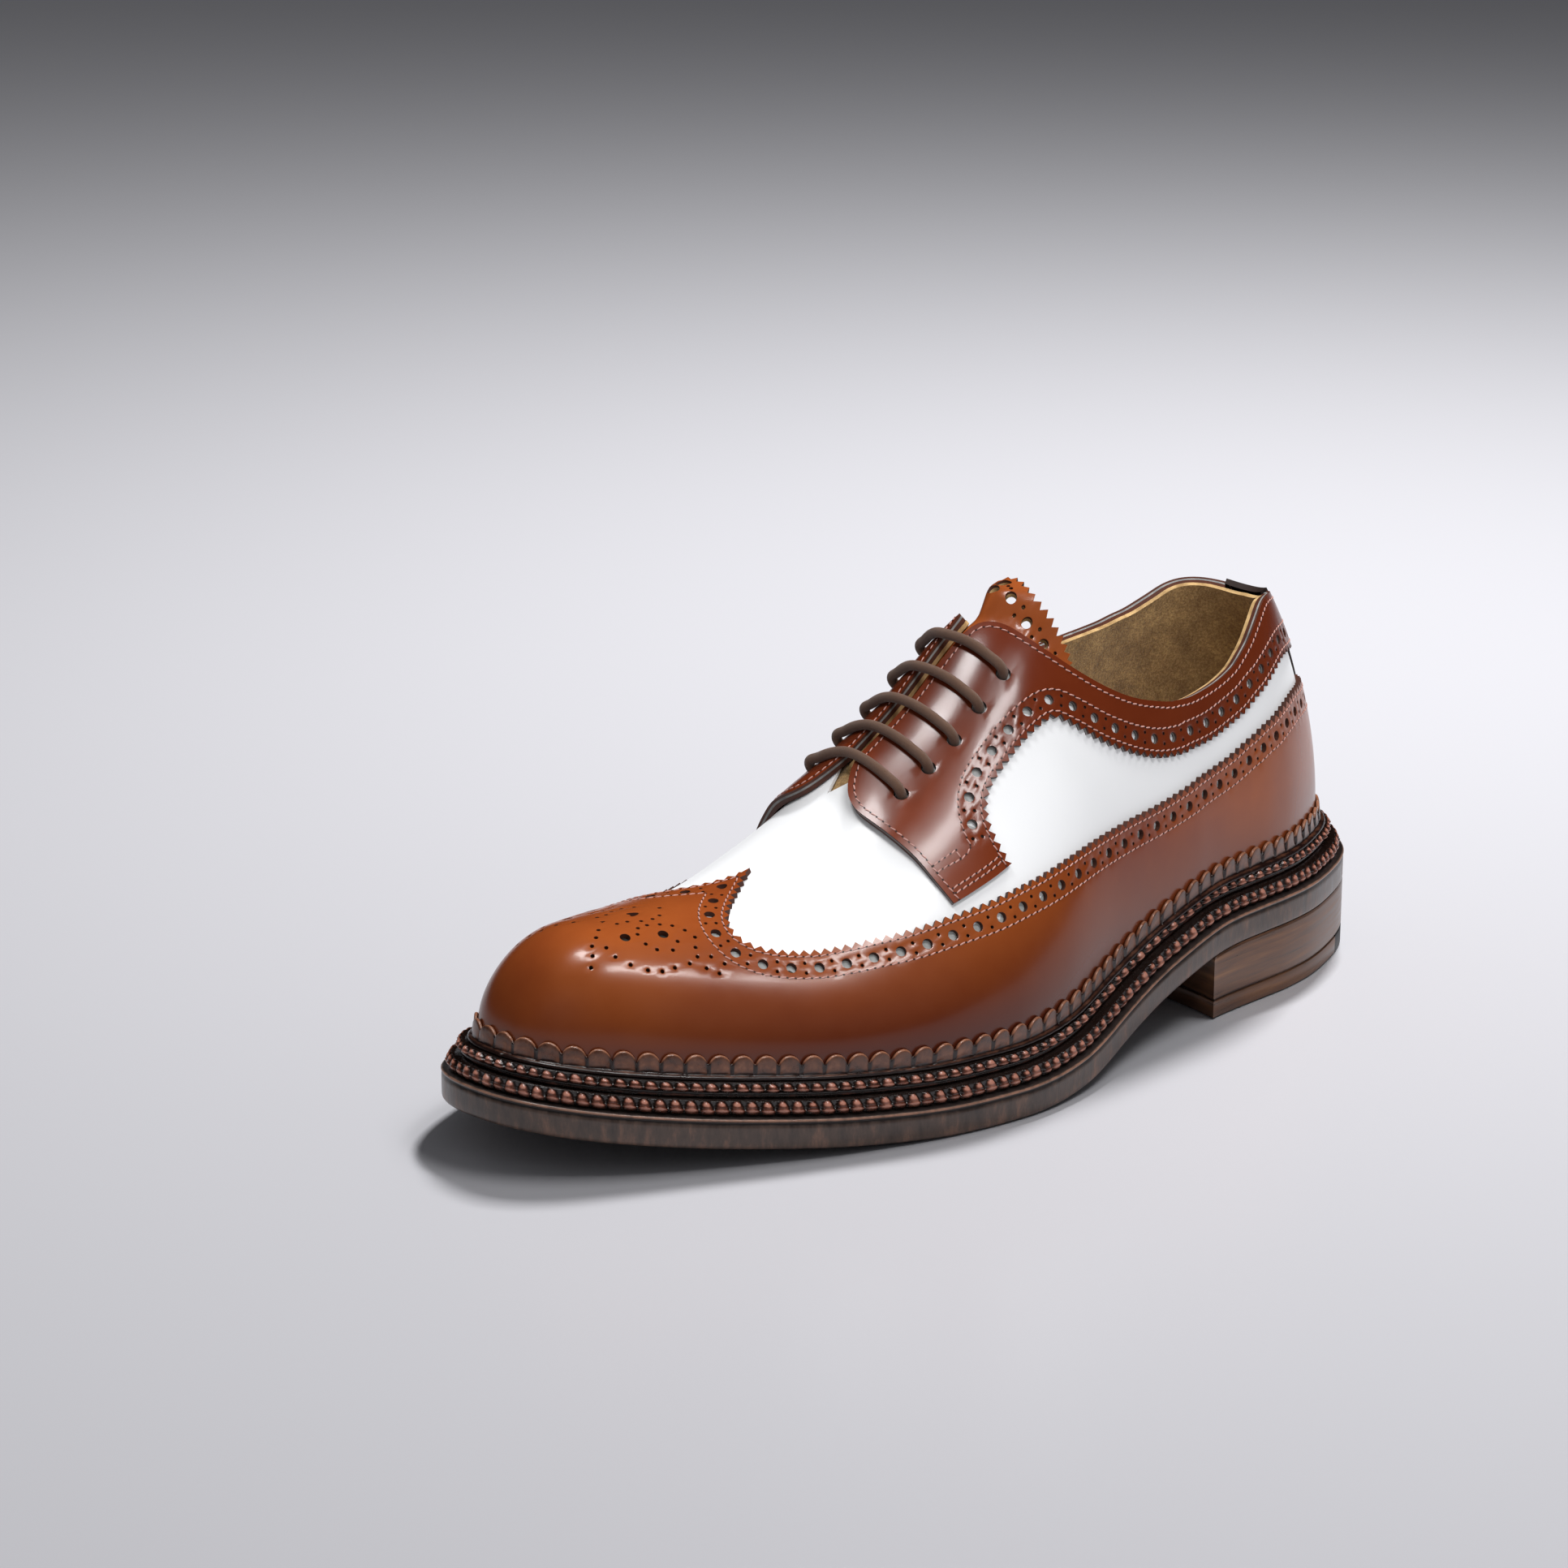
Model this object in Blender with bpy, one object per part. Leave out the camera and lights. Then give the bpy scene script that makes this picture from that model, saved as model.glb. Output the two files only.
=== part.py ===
"""Spectator shoe, a left one: a long-wing derby with a storm welt and two beaded welts.

The model is in metres with +Z up. +X points to the toe and +Y to the wearer's left, which is
the outer side of the foot. The origin is on the floor under the middle of the heel.
"""

import math

import bmesh
import bpy
import numpy as np
from mathutils import Vector
from mathutils.geometry import delaunay_2d_cdt

MM = 0.001

# Sole: driving sizes
SOLE_LENGTH = 300.0 * MM
HEEL_CENTRE = 36.8 * MM          # from the back of the sole to the origin
HEEL_WIDTH = 76.0 * MM
BALL_WIDTH = 112.0 * MM
TOE_SWING = 24.1 * MM            # how far the toe bends to the inner side
HEEL_HEIGHT = 19.0 * MM
TOE_SPRING = 11.4 * MM
OUTSOLE_THICKNESS = 8.2 * MM
WELT_THICKNESS = 3.7 * MM
WELT_STEP = 2.6 * MM             # the upper beaded welt stands back from the lower one
OUTSOLE_LEDGE = 1.0 * MM         # the lower beaded welt stands back from the outsole
BEAD_DEPTH = 1.1 * MM
HEEL_BREAST = 53.0 * MM          # from the origin to the heel's front face
BREAST_HOLLOW = 5.0 * MM
TOP_PIECE_THICKNESS = 5.0 * MM
QUARTER_TIP_FRONT = -14.0 * MM   # where the rubber quarter of the top piece begins
CLEARANCE = 0.3 * MM

# Upper: driving sizes
BACK_EXTENSION = 10.5 * MM       # welt showing outside the upper, at the heel
WAIST_EXTENSION = 8.5 * MM
BALL_EXTENSION = 11.0 * MM
TOE_EXTENSION = 11.5 * MM
INSTEP_HEIGHT = 120.0 * MM       # floor to the top of the last, which the collar cuts open
TOE_DOME = 23.0 * MM             # length over which the toe rounds down
HEEL_DOME = 29.5 * MM
BACK_LEAN = 10.4 * MM            # the heel's back curve leans forward over this much
LEAN_RISE = 70.0 * MM
LEAN_REACH = 130.0 * MM
WALL = 2.2 * MM
OVERLAY_THICKNESS = 1.2 * MM
OVERLAY_GAP = 0.5 * MM
BACK_STRIP_WIDTH = 15.0 * MM
INNER_COLLAR_LIFT = 0.08         # the top line is higher on the inner side, share of the wall
LACING_GAP_BACK = 6.5 * MM
LACING_GAP_FRONT = 4.0 * MM
TONGUE_THICKNESS = 2.0 * MM
TONGUE_LIFT = 5.2 * MM           # how far the tongue's tip stands off the last
INSOLE_THICKNESS = 3.2 * MM
STORM_HEIGHT = 4.2 * MM
STORM_WIDTH = 4.6 * MM
STORM_LIP = 1.5 * MM
EYELET_RADIUS = 2.1 * MM
LACE_DIAMETER = 3.0 * MM
LACE_BARS = 5

FEATHER_RISE = OUTSOLE_THICKNESS + 2.0 * (WELT_THICKNESS + CLEARANCE) + CLEARANCE

# Mesh density
COLUMNS = 72
CHART_LENGTH = 620.0             # rough millimetres along and across the chart of the upper
CHART_GIRTH = 95.0
LATTICE = 8.4                    # rough millimetres between the upper's mesh points

# Sole sections. at: share of the sole's length from the heel. outer, inner: shares of the
# width there, on the two sides of the centre line.
SOLE_SECTIONS = np.array([
    # at   outer   inner
    [0.00, 0.460, 0.474],
    [0.08, 0.463, 0.480],
    [0.20, 0.526, 0.489],
    [0.30, 0.505, 0.423],
    [0.42, 0.477, 0.352],
    [0.52, 0.510, 0.383],
    [0.60, 0.526, 0.442],
    [0.68, 0.512, 0.482],
    [0.76, 0.464, 0.473],
    [0.84, 0.407, 0.438],
    [0.92, 0.373, 0.406],
    [1.00, 0.363, 0.388],
])
TOE_ROUND = 0.25                 # share of the length over which the toe rounds off
TOE_FULLNESS = 2.28
HEEL_ROUND = 0.16
HEEL_FULLNESS = 2.1
SWING_START = 0.40
SWING_POWER = 1.6

# Underside of the outsole. at: share of the length. rise: share of the heel's height.
ARCH = np.array([
    # at   rise
    [0.00, 1.00],
    [0.12, 1.00],
    [0.22, 1.00],
    [0.28, 0.96],
    [0.36, 0.71],
    [0.44, 0.37],
    [0.52, 0.09],
    [0.60, 0.00],
    [0.66, 0.00],
    [1.00, 0.00],
])
SPRING_START = 0.66
SPRING_POWER = 1.7

# Sections of the last above the feather line. at: share of the sole's length. ridge: share of
# INSTEP_HEIGHT. shift: the ridge's way to the inner side, share of BALL_WIDTH. fullness:
# exponent of the section. bulge: how far the side swells, share of BALL_WIDTH.
LAST_SECTIONS = np.array([
    # at   ridge  shift  full  bulge
    [0.00, 1.000, 0.000, 2.10, 0.007],
    [0.10, 1.008, 0.003, 2.10, 0.013],
    [0.20, 1.016, 0.009, 2.10, 0.020],
    [0.30, 1.016, 0.018, 2.07, 0.029],
    [0.40, 1.004, 0.023, 2.00, 0.030],
    [0.47, 0.946, 0.027, 1.92, 0.031],
    [0.55, 0.783, 0.030, 1.90, 0.036],
    [0.62, 0.658, 0.027, 1.90, 0.039],
    [0.68, 0.546, 0.021, 1.95, 0.037],
    [0.74, 0.473, 0.014, 2.05, 0.030],
    [0.80, 0.455, 0.007, 2.12, 0.020],
    [0.86, 0.452, 0.003, 2.20, 0.012],
    [0.92, 0.447, 0.000, 2.25, 0.009],
    [1.00, 0.433, 0.000, 2.25, 0.009],
])
TOE_DOME_POWER = 2.15
HEEL_DOME_POWER = 2.2
LEAN_POWER = 1.35
LEAN_FADE = 1.2
BULGE_POWER = 0.75
BULGE_PULL = 4.0

# Lines on the upper. around: share of the way round the last from the back of the heel (0) to
# the toe (0.5). up: share of the way up the wall from the feather line (0) to the ridge (1).
TOP_LINE = np.array([
    # around up
    [0.0000, 0.520],
    [0.0300, 0.513],
    [0.0550, 0.505],
    [0.0770, 0.497],
    [0.0980, 0.477],
    [0.1145, 0.455],
    [0.1350, 0.420],
    [0.1575, 0.393],
    [0.1745, 0.391],
    [0.1880, 0.420],
    [0.1995, 0.457],
    [0.2095, 0.513],
    [0.2175, 0.583],
    [0.2240, 0.667],
    [0.2285, 0.760],
    [0.2315, 0.880],
    [0.2345, 0.935],
])
SLOT_BACK = 0.239
SLOT_FRONT = 0.291
WING_EDGE = np.array([
    # around up
    [0.0000, 0.285],
    [0.0500, 0.277],
    [0.0970, 0.264],
    [0.1175, 0.264],
    [0.1425, 0.252],
    [0.1580, 0.234],
    [0.1750, 0.225],
    [0.1900, 0.225],
    [0.2045, 0.232],
    [0.2220, 0.255],
    [0.2420, 0.294],
    [0.2580, 0.334],
    [0.2725, 0.367],
    [0.2850, 0.388],
    [0.2975, 0.413],
    [0.3100, 0.440],
    [0.3200, 0.462],
    [0.3330, 0.484],
    [0.3440, 0.503],
    [0.3530, 0.522],
    [0.3600, 0.546],
    [0.3660, 0.592],
    [0.3695, 0.680],
    [0.3678, 0.767],
    [0.3640, 0.830],
    [0.3580, 0.897],
    [0.3515, 0.950],
    [0.3440, 1.000],
])
COLLAR_EDGE = np.array([
    # around up
    [0.0000, 0.362],
    [0.0500, 0.352],
    [0.0945, 0.340],
    [0.1255, 0.323],
    [0.1490, 0.297],
    [0.1675, 0.281],
    [0.1840, 0.289],
    [0.1970, 0.313],
    [0.2090, 0.357],
    [0.2190, 0.413],
    [0.2275, 0.480],
    [0.2356, 0.553],
])
FACING_SHOULDER = np.array([
    # around up
    [0.2356, 0.553],
    [0.2430, 0.570],
    [0.2500, 0.583],
    [0.2575, 0.589],
    [0.2630, 0.590],
    [0.2665, 0.584],
])
FACING_TAIL = np.array([
    # around up
    [0.2665, 0.584],
    [0.2695, 0.562],
    [0.2712, 0.530],
    [0.2716, 0.490],
    [0.2706, 0.417],
])
TAIL_FOOT = np.array([
    # around up
    [0.2706, 0.417],
    [0.2938, 0.430],
])
FACING_FRONT = np.array([
    # around up
    [0.2938, 0.430],
    [0.2963, 0.517],
    [0.2978, 0.593],
    [0.3000, 0.670],
    [0.3025, 0.773],
    [0.3036, 0.847],
    [0.3022, 0.895],
    [0.2985, 0.934],
    [0.2945, 0.957],
])
# The tongue's outline on the outer side, from the middle of its top down to its hidden foot
TONGUE_EDGE = np.array([
    # around up
    [0.2065, 1.000],
    [0.2085, 0.950],
    [0.2115, 0.890],
    [0.2135, 0.820],
    [0.2135, 0.740],
    [0.2130, 0.660],
    [0.2145, 0.600],
    [0.2220, 0.570],
    [0.2450, 0.600],
    [0.2750, 0.670],
    [0.3000, 0.750],
    [0.3110, 0.830],
    [0.3150, 0.910],
    [0.3160, 1.000],
])
# The tongue leaves the facings a little behind the top line and has its full lift after a ramp
TONGUE_TUCK = 0.003
TONGUE_RAMP = 0.016
# The five eyelets of one facing: first, last, and their way up the wall
EYELET_FIRST = (0.2430, 0.747)
EYELET_LAST = (0.2900, 0.767)


def table_curve(table, column, at):
    """Smooth curve through one column of a table, read at the places given in at."""
    place = table[:, 0]
    value = table[:, column]
    at = np.clip(np.asarray(at, float), place[0], place[-1])
    step = np.diff(place)
    slope = np.diff(value) / step
    tangent = np.empty_like(value)
    tangent[0] = slope[0]
    tangent[-1] = slope[-1]
    tangent[1:-1] = (step[1:] * slope[:-1] + step[:-1] * slope[1:]) / (step[1:] + step[:-1])
    i = np.clip(np.searchsorted(place, at, side="right") - 1, 0, len(step) - 1)
    t = (at - place[i]) / step[i]
    return (
        (2 * t**3 - 3 * t**2 + 1) * value[i]
        + (t**3 - 2 * t**2 + t) * step[i] * tangent[i]
        + (3 * t**2 - 2 * t**3) * value[i + 1]
        + (t**3 - t**2) * step[i] * tangent[i + 1]
    )


def sole_share(x):
    """Share of the sole's length at x."""
    return (np.asarray(x, float) + HEEL_CENTRE) / SOLE_LENGTH


def centre_line(share):
    """y of the sole's centre line."""
    past = np.clip((share - SWING_START) / (1.0 - SWING_START), 0.0, 1.0)
    return -TOE_SWING * past**SWING_POWER


def end_rounding(share):
    """Share of the width that is left where the toe and the heel round off."""
    toe = np.clip((share - (1.0 - TOE_ROUND)) / TOE_ROUND, 0.0, 1.0)
    heel = np.clip((HEEL_ROUND - share) / HEEL_ROUND, 0.0, 1.0)
    toe_part = np.maximum(1.0 - toe**TOE_FULLNESS, 0.0) ** (1.0 / TOE_FULLNESS)
    heel_part = np.maximum(1.0 - heel**HEEL_FULLNESS, 0.0) ** (1.0 / HEEL_FULLNESS)
    return toe_part * heel_part


def sole_width(share):
    """Width that the two columns of SOLE_SECTIONS share out."""
    t = np.clip((share - 0.20) / 0.40, 0.0, 1.0)
    return HEEL_WIDTH + (BALL_WIDTH - HEEL_WIDTH) * t * t * (3.0 - 2.0 * t)


def sole_outline(around):
    """Plan of the sole's edge. around runs from the back over the outer side to the toe (0.5)."""
    around = np.asarray(around, float) % 1.0
    share = (1.0 - np.cos(2.0 * np.pi * around)) / 2.0
    outer = table_curve(SOLE_SECTIONS, 1, share)
    inner = table_curve(SOLE_SECTIONS, 2, share)
    side = np.where(around < 0.5, 1.0, -1.0)
    half = np.where(around < 0.5, outer, inner) * sole_width(share) * end_rounding(share)
    return np.stack([SOLE_LENGTH * share - HEEL_CENTRE, centre_line(share) + side * half], axis=-1)


def inset_outline(around, inset):
    """The sole's outline moved inward by inset."""
    around = np.asarray(around, float)
    step = 1e-4
    along = sole_outline(around + step) - sole_outline(around - step)
    outward = np.stack([-along[..., 1], along[..., 0]], axis=-1)
    outward /= np.linalg.norm(outward, axis=-1, keepdims=True)
    return sole_outline(around) - outward * np.asarray(inset)[..., None]


def sole_rise(x):
    """Height of the outsole's underside over the floor."""
    share = sole_share(x)
    arch = np.maximum(table_curve(ARCH, 1, share), 0.0) * HEEL_HEIGHT
    arch = np.where(share > ARCH[-3, 0], 0.0, arch)
    spring = np.clip((share - SPRING_START) / (1.0 - SPRING_START), 0.0, 1.0)
    return arch + TOE_SPRING * spring**SPRING_POWER


def extension(share):
    """Width of welt that shows outside the upper."""
    places = [0.0, 0.30, 0.60, 0.85]
    widths = [BACK_EXTENSION, WAIST_EXTENSION, BALL_EXTENSION, TOE_EXTENSION]
    return np.interp(share, places, widths)


class Feather:
    """The line where the upper meets the welt, kept as two side curves over x."""

    def __init__(self, samples=1440):
        around = np.arange(samples) / samples
        share = (1.0 - np.cos(2.0 * np.pi * around)) / 2.0
        line = inset_outline(around, extension(share))
        toe = int(np.argmax(line[:, 0]))
        back = int(np.argmin(line[:, 0]))
        line = np.roll(line, -back, axis=0)
        toe = (toe - back) % samples
        closed = np.vstack([line, line[:1]])
        self.outer = closed[: toe + 1]
        self.inner = closed[toe:][::-1]
        self.back = closed[0, 0]
        self.toe = closed[toe, 0]

    def side_y(self, x, outer):
        curve = self.outer if outer else self.inner
        return np.interp(x, curve[:, 0], curve[:, 1])

    def point(self, around):
        around = np.asarray(around, float) % 1.0
        x = self.back + (self.toe - self.back) * (1.0 - np.cos(2.0 * np.pi * around)) / 2.0
        y = np.where(around <= 0.5, self.side_y(x, True), self.side_y(x, False))
        return np.stack([x, y], axis=-1)


FEATHER = Feather()
RIDGE_BACK = FEATHER.back + HEEL_DOME
RIDGE_TOE = FEATHER.toe - TOE_DOME


def last_point(around, up):
    """Point of the last's outer surface, the upper's outer face.

    A value of up above 1 passes over the ridge and comes down the other side.
    """
    around, up = np.broadcast_arrays(np.asarray(around, float), np.asarray(up, float))
    around = np.where(up > 1.0, 1.0 - around, around)
    up = np.where(up > 1.0, 2.0 - up, up)
    plan_share = np.cos(np.clip(up, 0.0, 1.0) * np.pi / 2.0)
    foot = FEATHER.point(around)
    along = (foot[..., 0] - FEATHER.back) / (FEATHER.toe - FEATHER.back)
    ridge_x = RIDGE_BACK + along * (RIDGE_TOE - RIDGE_BACK)
    ridge_share = sole_share(ridge_x)
    ridge_y = centre_line(ridge_share) - table_curve(LAST_SECTIONS, 2, ridge_share) * BALL_WIDTH
    ridge = np.stack([ridge_x, ridge_y], axis=-1)
    plan = ridge + (foot - ridge) * plan_share[..., None]
    x = plan[..., 0]
    y = plan[..., 1]
    share = sole_share(x)
    middle = centre_line(share) - table_curve(LAST_SECTIONS, 2, share) * BALL_WIDTH
    outer_half = np.maximum(FEATHER.side_y(x, True) - middle, 1e-6)
    inner_half = np.maximum(middle - FEATHER.side_y(x, False), 1e-6)
    off = np.where(y > middle, (y - middle) / outer_half, (middle - y) / inner_half)
    off = np.clip(off, 0.0, 1.0)
    full = table_curve(LAST_SECTIONS, 3, share)
    rise = np.maximum(1.0 - off**full, 0.0) ** (1.0 / full)
    base = sole_rise(x) + FEATHER_RISE
    toe = np.clip((x - RIDGE_TOE) / (FEATHER.toe - RIDGE_TOE), 0.0, 1.0)
    heel = np.clip((RIDGE_BACK - x) / (RIDGE_BACK - FEATHER.back), 0.0, 1.0)
    dome = np.maximum(1.0 - toe**TOE_DOME_POWER, 0.0) ** (1.0 / TOE_DOME_POWER)
    dome = dome * np.maximum(1.0 - heel**HEEL_DOME_POWER, 0.0) ** (1.0 / HEEL_DOME_POWER)
    tall = table_curve(LAST_SECTIONS, 1, share) * INSTEP_HEIGHT - base
    height = np.where(plan_share >= 1.0, 0.0, tall * dome * rise)
    swell = np.sin(np.pi * np.clip(height / tall, 0.0, 1.0) ** BULGE_POWER)
    swell = swell * table_curve(LAST_SECTIONS, 4, share) * BALL_WIDTH * plan_share**BULGE_PULL
    outward = foot - ridge
    outward /= np.linalg.norm(outward, axis=-1, keepdims=True)
    fade = np.clip(1.0 - (x - FEATHER.back) / LEAN_REACH, 0.0, 1.0) ** LEAN_FADE
    lean = BACK_LEAN * (height / LEAN_RISE) ** LEAN_POWER * fade
    plan = plan + outward * swell[..., None]
    return np.stack([plan[..., 0] + lean, plan[..., 1], base + height], axis=-1)


def last_normal(around, up):
    """Outward normal of the last's surface."""
    around, up = np.broadcast_arrays(np.asarray(around, float), np.asarray(up, float))
    step_around = 0.003
    step_up = 0.006
    along = last_point(around + step_around, up) - last_point(around - step_around, up)
    rising = last_point(around, up + step_up) - last_point(around, np.maximum(up - step_up, 0.0))
    normal = np.cross(rising, along)
    return normal / np.maximum(np.linalg.norm(normal, axis=-1, keepdims=True), 1e-12)


def offset_point(around, up, distance):
    """Point at a distance outward of the last's surface."""
    away = np.asarray(distance, float)[..., None]
    return last_point(around, up) + last_normal(around, up) * away


def up_at_height(around, height):
    """Share of the way up the wall where the surface is that high over the feather line."""
    around = np.asarray(around, float)
    low = np.zeros_like(around)
    high = np.full_like(around, 0.5)
    base = last_point(around, low)[..., 2]
    for _ in range(30):
        middle = (low + high) / 2.0
        above = last_point(around, middle)[..., 2] - base > height
        high = np.where(above, middle, high)
        low = np.where(above, low, middle)
    return (low + high) / 2.0


def smooth_line(points, count=60):
    """Smooth curve through points of the chart, by the length between them."""
    points = np.asarray(points, float)
    scaled = points * np.array([CHART_LENGTH, CHART_GIRTH])
    length = np.concatenate([[0.0], np.cumsum(np.linalg.norm(np.diff(scaled, axis=0), axis=1))])
    table = np.column_stack([length, points])
    at = np.linspace(0.0, length[-1], count)
    return np.column_stack([table_curve(table, 1, at), table_curve(table, 2, at)])


def mirrored(line):
    """The same line on the inner side of the shoe."""
    return np.column_stack([line[:, 0], 2.0 - line[:, 1]])


def lifted(line):
    """A collar line as the inner side has it, a little higher between heel and throat."""
    start = 0.38 * TOP_LINE[-1, 0]
    share = np.clip((line[:, 0] - start) / (TOP_LINE[-1, 0] - start), 0.0, 1.0)
    return np.column_stack([line[:, 0], line[:, 1] + INNER_COLLAR_LIFT * np.sin(np.pi * share) ** 2])


def slot_up(around):
    """Share of the way up where the lacing gap's edge runs."""
    around = np.asarray(around, float)
    foot = FEATHER.point(around)
    along = (foot[..., 0] - FEATHER.back) / (FEATHER.toe - FEATHER.back)
    ridge_x = RIDGE_BACK + along * (RIDGE_TOE - RIDGE_BACK)
    ridge_share = sole_share(ridge_x)
    ridge_y = centre_line(ridge_share) - table_curve(LAST_SECTIONS, 2, ridge_share) * BALL_WIDTH
    reach = np.hypot(foot[..., 0] - ridge_x, foot[..., 1] - ridge_y)
    back = np.clip((SLOT_FRONT - around) / (SLOT_FRONT - SLOT_BACK), 0.0, 1.0)
    gap = LACING_GAP_FRONT + (LACING_GAP_BACK - LACING_GAP_FRONT) * back
    return 2.0 / np.pi * np.arccos(gap / 2.0 / reach)


def tongue_rise(around, up):
    """How far the tongue stands off the last behind the top line."""
    folded = 1.0 - np.abs(1.0 - up)
    edge = np.interp(folded, TOP_LINE[8:, 1], TOP_LINE[8:, 0])
    share = np.clip((edge - TONGUE_TUCK - around) / TONGUE_RAMP, 0.0, 1.0)
    middle = np.clip((folded - 0.58) / 0.20, 0.0, 1.0)
    return TONGUE_LIFT * share**2 * (3.0 - 2.0 * share) * middle


def spaced(line, spacing):
    """The line cut into even steps, both ends kept."""
    scaled = line * np.array([CHART_LENGTH, CHART_GIRTH])
    length = np.concatenate([[0.0], np.cumsum(np.linalg.norm(np.diff(scaled, axis=0), axis=1))])
    count = max(1, int(round(length[-1] / spacing)))
    at = np.linspace(0.0, length[-1], count + 1)
    return np.column_stack([np.interp(at, length, line[:, 0]), np.interp(at, length, line[:, 1])])


def joined(lines, spacing):
    """One closed loop of chart points from lines that follow each other."""
    loop = []
    for line in lines:
        for point in spaced(line, spacing):
            if not loop or np.linalg.norm(point - loop[-1]) > 1e-7:
                loop.append(point)
    if np.linalg.norm(loop[0] - loop[-1]) < 1e-7:
        loop.pop()
    return np.array(loop)


def toe_fold(start):
    """Lines up and over the toe's middle, where the chart meets itself."""
    top = 0.965
    rising = np.array([[0.5, start], [0.5, top]])
    return [rising, np.array([[0.5, top], [0.5, 2.0 - top]]), mirrored(rising)[::-1]]


def inside(points, loop):
    """Which points lie inside a closed loop."""
    result = np.zeros(len(points), bool)
    for i in range(len(loop)):
        x0, y0 = loop[i - 1]
        x1, y1 = loop[i]
        crosses = (y0 > points[:, 1]) != (y1 > points[:, 1])
        with np.errstate(divide="ignore", invalid="ignore"):
            edge_x = x0 + (points[:, 1] - y0) * (x1 - x0) / (y1 - y0)
        result ^= crosses & (points[:, 0] < edge_x)
    return result


def distance_to(points, loop):
    """Distance of each point from a closed loop."""
    best = np.full(len(points), np.inf)
    for i in range(len(loop)):
        start = loop[i - 1]
        run = loop[i] - start
        t = np.clip(((points - start) @ run) / max(run @ run, 1e-18), 0.0, 1.0)
        best = np.minimum(best, np.linalg.norm(points - start - t[:, None] * run, axis=1))
    return best


def triangulated(loops, spacing):
    """Points and triangles of a flat region: the first loop outside, the others holes."""
    low = np.floor(loops[0].min(axis=0) / spacing) - 1
    high = np.ceil(loops[0].max(axis=0) / spacing) + 1
    lattice = [
        [(i + 0.5 * (j % 2)) * spacing, j * spacing * 0.866]
        for j in range(int(low[1] / 0.866) - 1, int(high[1] / 0.866) + 2)
        for i in range(int(low[0]), int(high[0]) + 1)
    ]
    lattice = np.array(lattice)
    keep = inside(lattice, loops[0])
    for loop in loops:
        keep &= distance_to(lattice, loop) > 0.45 * spacing
    for loop in loops[1:]:
        keep &= ~inside(lattice, loop)
    points = np.vstack(loops + [lattice[keep]])
    edges = []
    first = 0
    for loop in loops:
        count = len(loop)
        edges += [(first + i, first + (i + 1) % count) for i in range(count)]
        first += count
    result = delaunay_2d_cdt([Vector(p) for p in points], edges, [], 0, 1e-6)
    flat = np.array([[v.x, v.y] for v in result[0]])
    triangles = np.array([list(face) for face in result[2]])
    middle = flat[triangles].mean(axis=1)
    wanted = inside(middle, loops[0])
    for loop in loops[1:]:
        wanted &= ~inside(middle, loop)
    return flat, triangles[wanted]


def border_edges(triangles):
    """Edges that one triangle alone has, in its own direction."""
    used = {(a, b) for t in triangles for a, b in ((t[0], t[1]), (t[1], t[2]), (t[2], t[0]))}
    return [edge for edge in used if (edge[1], edge[0]) not in used]


def material(name, colour, roughness):
    made = bpy.data.materials.new(name)
    made.use_nodes = True
    shader = made.node_tree.nodes["Principled BSDF"]
    shader.inputs["Base Color"].default_value = (*colour, 1.0)
    shader.inputs["Roughness"].default_value = roughness
    shader.inputs["Metallic"].default_value = 0.0
    return made


def body(name, points, faces, look, sharp=40.0):
    """One closed object from points and faces, with coinciding points joined."""
    build = bmesh.new()
    corners = [build.verts.new(p) for p in np.asarray(points, float)]
    for face in faces:
        if len(set(face)) == len(face):
            build.faces.new([corners[i] for i in face])
    bmesh.ops.remove_doubles(build, verts=build.verts, dist=2e-6)
    bmesh.ops.dissolve_degenerate(build, dist=1e-6, edges=build.edges)
    bmesh.ops.triangulate(build, faces=build.faces)
    bmesh.ops.recalc_face_normals(build, faces=build.faces)
    mesh = bpy.data.meshes.new(name)
    build.to_mesh(mesh)
    build.free()
    mesh.shade_smooth()
    mesh.set_sharp_from_angle(angle=math.radians(sharp))
    mesh.materials.append(look)
    made = bpy.data.objects.new(name, mesh)
    bpy.context.scene.collection.objects.link(made)
    return made


def chart_shell(name, loops, folds, inner, outer, look, spacing=LATTICE, rise=None):
    """Shell between two offsets of the last's surface over a region of the chart.

    A fold is a value of the first coordinate on whose line the chart meets itself. rise: a
    function of the chart that adds to both offsets.
    """
    scale = np.array([CHART_LENGTH, CHART_GIRTH])
    flat, triangles = triangulated([loop * scale for loop in loops], spacing)
    chart = flat / scale
    count = len(chart)
    extra = np.zeros(count) if rise is None else rise(chart[:, 0], chart[:, 1])
    points = np.vstack([
        offset_point(chart[:, 0], chart[:, 1], outer + extra),
        offset_point(chart[:, 0], chart[:, 1], inner + extra),
    ])
    faces = [tuple(t) for t in triangles]
    faces += [(t[0] + count, t[2] + count, t[1] + count) for t in triangles]
    for a, b in border_edges(triangles.tolist()):
        folded = any(abs(chart[a, 0] - f) < 1e-6 and abs(chart[b, 0] - f) < 1e-6 for f in folds)
        if not folded:
            faces.append((b, a, a + count, b + count))
    return body(name, points, faces, look)


def stations(count, shares):
    """Even places round the sole, with some moved onto exact shares of its length."""
    around = np.arange(count // 2 + 1) / count
    for share in shares:
        wanted = math.acos(1.0 - 2.0 * share) / (2.0 * math.pi)
        around[int(np.argmin(np.abs(around - wanted)))] = wanted
    return np.concatenate([around, 1.0 - around[-2:0:-1]])


def ring(around, inset, height):
    """Outline of the sole moved inward, at a height over its underside."""
    plan = inset_outline(around, np.broadcast_to(np.asarray(inset, float), around.shape))
    return np.column_stack([plan, sole_rise(plan[:, 0]) + height])


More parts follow.
